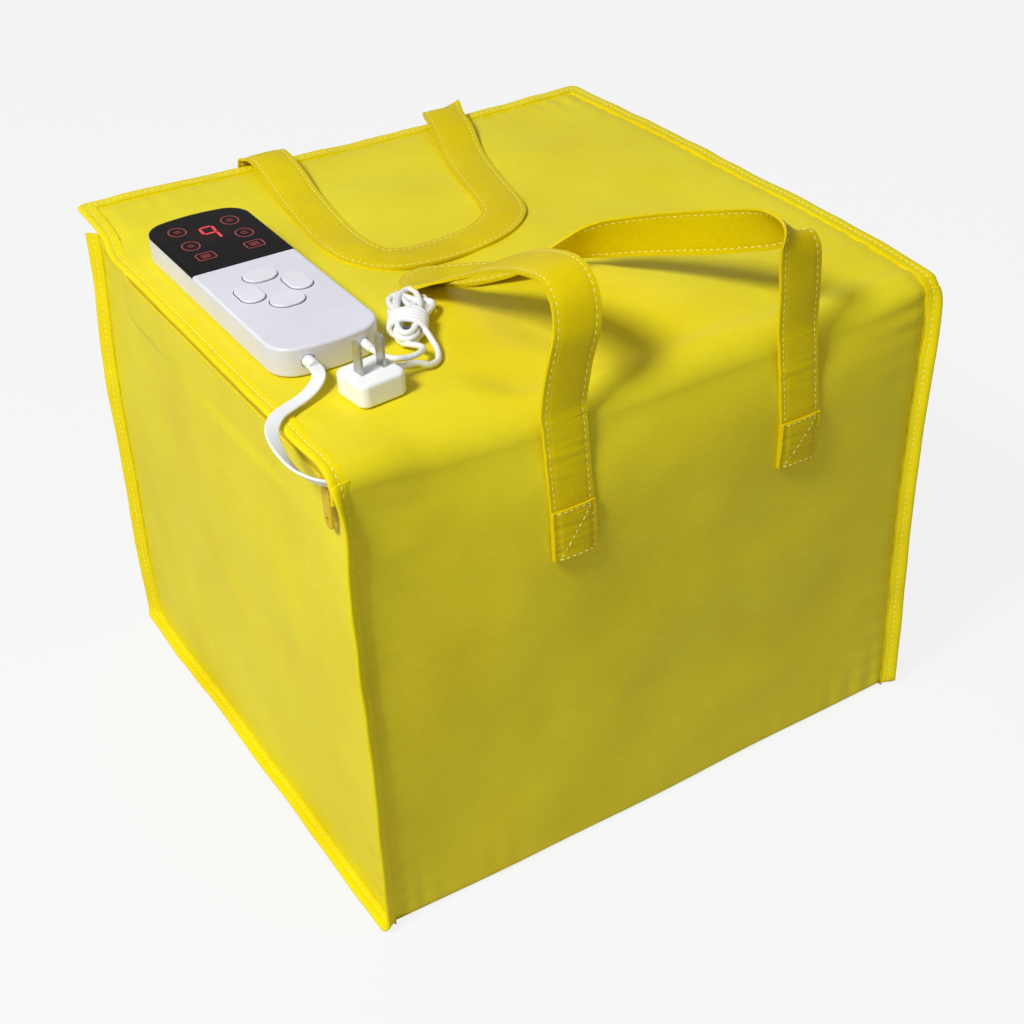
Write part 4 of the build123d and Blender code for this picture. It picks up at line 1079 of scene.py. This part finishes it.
finishes.update({
    "shell": whitePlastic("handset_shell_white", colour(226, 226, 236), 0.36),
    "button": whitePlastic("button_white", colour(232, 232, 240), 0.42),
    "outline": whitePlastic("button_outline_grey", colour(74, 74, 84), 0.5),
    "plug": whitePlastic("plug_vinyl_white", colour(250, 253, 252), 0.3),
    "gland": whitePlastic("gland_vinyl_white", colour(240, 241, 240), 0.4),
    "window": glossBlack(),
    "digit": lit("digit_red_light", colour(196, 30, 44), 1.0),
    "ring": lit("mark_red_light", colour(150, 34, 40), 0.55),
    "digitBlock": whitePlastic("digit_block_dark", colour(52, 16, 18), 0.4),
    "lamp": whitePlastic("lamp_lens_red", colour(196, 62, 44), 0.25),
    "board": boardGreen(),
    "relay": whitePlastic("relay_case_blue", colour(36, 84, 150), 0.4),
    "rubber": whitePlastic("key_rubber_grey", colour(150, 152, 156), 0.62, 0.0001),
    "screw": metal("screw_zinc", colour(190, 192, 196), 0.28),
    "pin": metal("pin_nickel", colour(186, 184, 176), 0.2, (1.0, 1.0, 0.2)),
    "zipMetal": paintedMetal("zip_metal_amber", colour(214, 180, 6), colour(232, 204, 40), 0.5),
    "wire": whitePlastic("heating_wire_red", colour(168, 60, 50), 0.5),
    "cutout": whitePlastic("cutout_sleeve_black", colour(40, 40, 42), 0.5),
    "probe": whitePlastic("probe_resin_dark", colour(60, 52, 46), 0.35)})
nodeFinish = {
    "shell": ("handset_shell", "handset_bottom_shell handset_top_shell"),
    "button": ("button_white", "button_up button_down button_left button_right"),
    "window": ("black_window", "display_window"), "digitBlock": ("digit_block", "digit_display"),
    "lamp": ("lamp", "indicator_lamps"), "board": ("board", "circuit_board"), "relay": ("relay_case", "relay"),
    "rubber": ("key_rubber", "key_membrane"), "screw": ("screw_steel", "handset_screws"),
    "gland": ("white_gland", "control_lead_gland mains_lead_gland"), "plug": ("plug_white", "plug_body"),
    "pin": ("pin_metal", "plug_pins"), "zipMetal": ("zip_metal", "zip_slider zip_pull"),
    "wire": ("heating_wire", "heating_wire"), "cutout": ("cutout", "thermal_cutout"),
    "probe": ("probe_bead", "temperature_probe")}
for finish, (slot, names) in nodeFinish.items():
    for name in names.split():
        wear(nodes[name], finishes[finish], slot)

# the handset's face: keys ringed with a thin line, lit marks without lettering behind the window
face = {"centreX": -136.0, "windowEdge": 21.0, "top": 312.3, "keyLine": 0.6, "keyGap": 0.3,
        "keyRise": 0.14, "markLine": 0.62,
        "markRise": 0.09, "mark": (4.8, 5.9)}


def ringPiece(name, x, y, corner, straight, line, rise, sides=56):   # a thin raised line; corner and straight are pairs
    deselectAll()
    bpy.ops.mesh.primitive_torus_add(location=(0, 0, 0), major_segments=sides, minor_segments=6, major_radius=1.0,
                                     minor_radius=0.1)
    piece = started(name)
    for vertex in piece.data.vertices:
        flat = Vector((vertex.co.x, vertex.co.y))
        out = (flat.length - 1.0) / 0.1 * line / 2
        px, py = ((size + out) * part / flat.length + math.copysign(run, part)
                  for size, run, part in zip(corner, straight, flat))
        vertex.co = Vector((x + px, y + py, face["top"] + vertex.co.z / 0.1 * rise)) * mm
    return finishShape(piece)


made = []
for name in ("up", "down", "left", "right"):
    low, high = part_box("button_" + name)
    middle, half = (low + high) / 2 / mm, (high - low) / 2 / mm - Vector((1.2, 1.2, 0))   # the flange hides inside
    corner = min(half.x, half.y)
    straight = (half.x - corner, half.y - corner)
    made.append(ringPiece("line_" + name, middle.x, middle.y, (corner + face["keyGap"],) * 2, straight,
                          face["keyLine"], face["keyRise"]))
fit(joinPieces("button_outlines", made), "outline", "handset_shell", "lid")

marks = [("round", 15.8, 55.4), ("round", 15.7, 35.2), ("round", -15.0, 57.2), ("round", -15.6, 36.0),
         ("box", 14.2, 18.4), ("box", -13.8, 19.4)]
made = []
for number, (kind, x, y) in enumerate(marks):
    corner, straight = (face["mark"], (0.0, 0.0)) if kind == "round" else ((1.7, 1.9), (3.4, 2.4))
    place = (face["centreX"] + x, face["windowEdge"] + y)
    made.append(ringPiece("mark_" + str(number), *place, corner, straight, face["markLine"], face["markRise"]))
    for row in ((-1.6, 0, 1.6) if kind == "box" else (-1.1, 1.1)):   # plain bars inside each mark
        deselectAll()
        bpy.ops.mesh.primitive_cube_add(size=1)
        bar = bpy.context.object
        editAll(bar, lambda: bpy.ops.mesh.bevel(offset=0.2, segments=2))
        for vertex in bar.data.vertices:
            vertex.co = Vector((place[0] + vertex.co.x * (5.4 if kind == "box" else 3.6),
                                place[1] + row + vertex.co.y * 0.6, face["top"] + vertex.co.z * 0.12)) * mm
        made.append(finishShape(bar))
fit(joinPieces("window_marks", made), "ring", "lamp", "lid")

digit = {"width": 7.4, "height": 17.6, "line": 1.5, "slant": 0.05, "centre": (0.0, 45.5)}
segments = {"a": ((-0.5, 0.5), (0.5, 0.5)), "b": ((0.5, 0.5), (0.5, 0.0)), "c": ((0.5, 0.0), (0.5, -0.5)),
            "f": ((-0.5, 0.5), (-0.5, 0.0)), "g": ((-0.5, 0.0), (0.5, 0.0))}
made = []
for ends in segments.values():
    a, b = (Vector((x * digit["width"] + y * digit["height"] * digit["slant"], y * digit["height"], 0))
            for x, y in ends)
    along = (b - a).normalized()
    across = Vector((-along.y, along.x, 0))
    deselectAll()
    bpy.ops.mesh.primitive_cylinder_add(vertices=6, radius=1, depth=1)
    bar = bpy.context.object
    reach = (b - a).length / 2 - 0.35
    for vertex in bar.data.vertices:
        sideways = vertex.co.x / 0.8660254 * 0.5
        endways = vertex.co.y
        length = reach if abs(endways) > 0.9 else reach - digit["line"] / 2
        vertex.co = ((a + b) / 2 + along * math.copysign(length, endways) + across * sideways * digit["line"]
                     + Vector((face["centreX"] + digit["centre"][0], face["windowEdge"] + digit["centre"][1],
                               face["top"] + vertex.co.z * 0.16))) * mm
    made.append(finishShape(bar, 30))
fit(joinPieces("digit_nine", made), "digit", "digit_block", "lid")
print("handset is dressed")

def paleFloor():   # near white to the camera, and it keeps the object's shadow
    material, shader, start, inObject = newFinish("floor_pale", Roughness=0.9, Specular_IOR_Level=0.1)
    tree = start.tree
    clouds = speckle(start, inObject, 3.0)
    feed(start, shader, Base_Color=clouds.blend((0.58, 0.58, 0.58, 1), (0.62, 0.62, 0.62, 1)))
    seen = start.node("ShaderNodeLightPath", output=0) * room["floorWhite"]
    glow = start.node("ShaderNodeEmission", {}, {"Color": (1, 1, 1, 1), "Strength": 1.0})
    mixed = start.node("ShaderNodeMixShader", {}, {0: seen, 1: Signal(tree, shader.outputs[0]), 2: glow})
    tree.links.new(mixed.socket, tree.nodes["Material Output"].inputs[0])
    return material


room = {"floorWhite": 0.85, "ambient": 0.27, "floorSize": 12.0,
        "key": {"place": (-1.43, -0.49, 1.92), "size": 0.5, "power": 43.0}}
deselectAll()
bpy.ops.mesh.primitive_grid_add(x_subdivisions=8, y_subdivisions=8, size=room["floorSize"])
ground = bpy.context.object
ground.name = "studio_floor"
for vertex in ground.data.vertices:
    vertex.co.z -= 0.0004
ground.data.materials.append(paleFloor())

world = bpy.data.worlds.new("pale_room")
bpy.context.scene.world = world
world.use_nodes = True
start = Signal(world.node_tree)
rays = world.node_tree.nodes.new("ShaderNodeLightPath")
white = Signal(start.tree, rays.outputs["Is Camera Ray"]) + Signal(start.tree, rays.outputs["Is Glossy Ray"]) * 0.55
white = white + Signal(start.tree, rays.outputs["Is Transmission Ray"])
strength = white.ranged(0.0, 1.0, room["ambient"], 1.0)
back = world.node_tree.nodes["Background"]
back.inputs[0].default_value = (1, 1, 1, 1)
world.node_tree.links.new(strength.socket, back.inputs[1])

bpy.ops.object.light_add(type="AREA", location=room["key"]["place"])
lamp = bpy.context.object
lamp.name = "key_light"
lamp.data.energy = room["key"]["power"]
lamp.data.size = room["key"]["size"]
lamp.rotation_euler = (Vector((0, 0, 0.18)) - lamp.location).to_track_quat("-Z", "Y").to_euler()
print("floor and light are set")
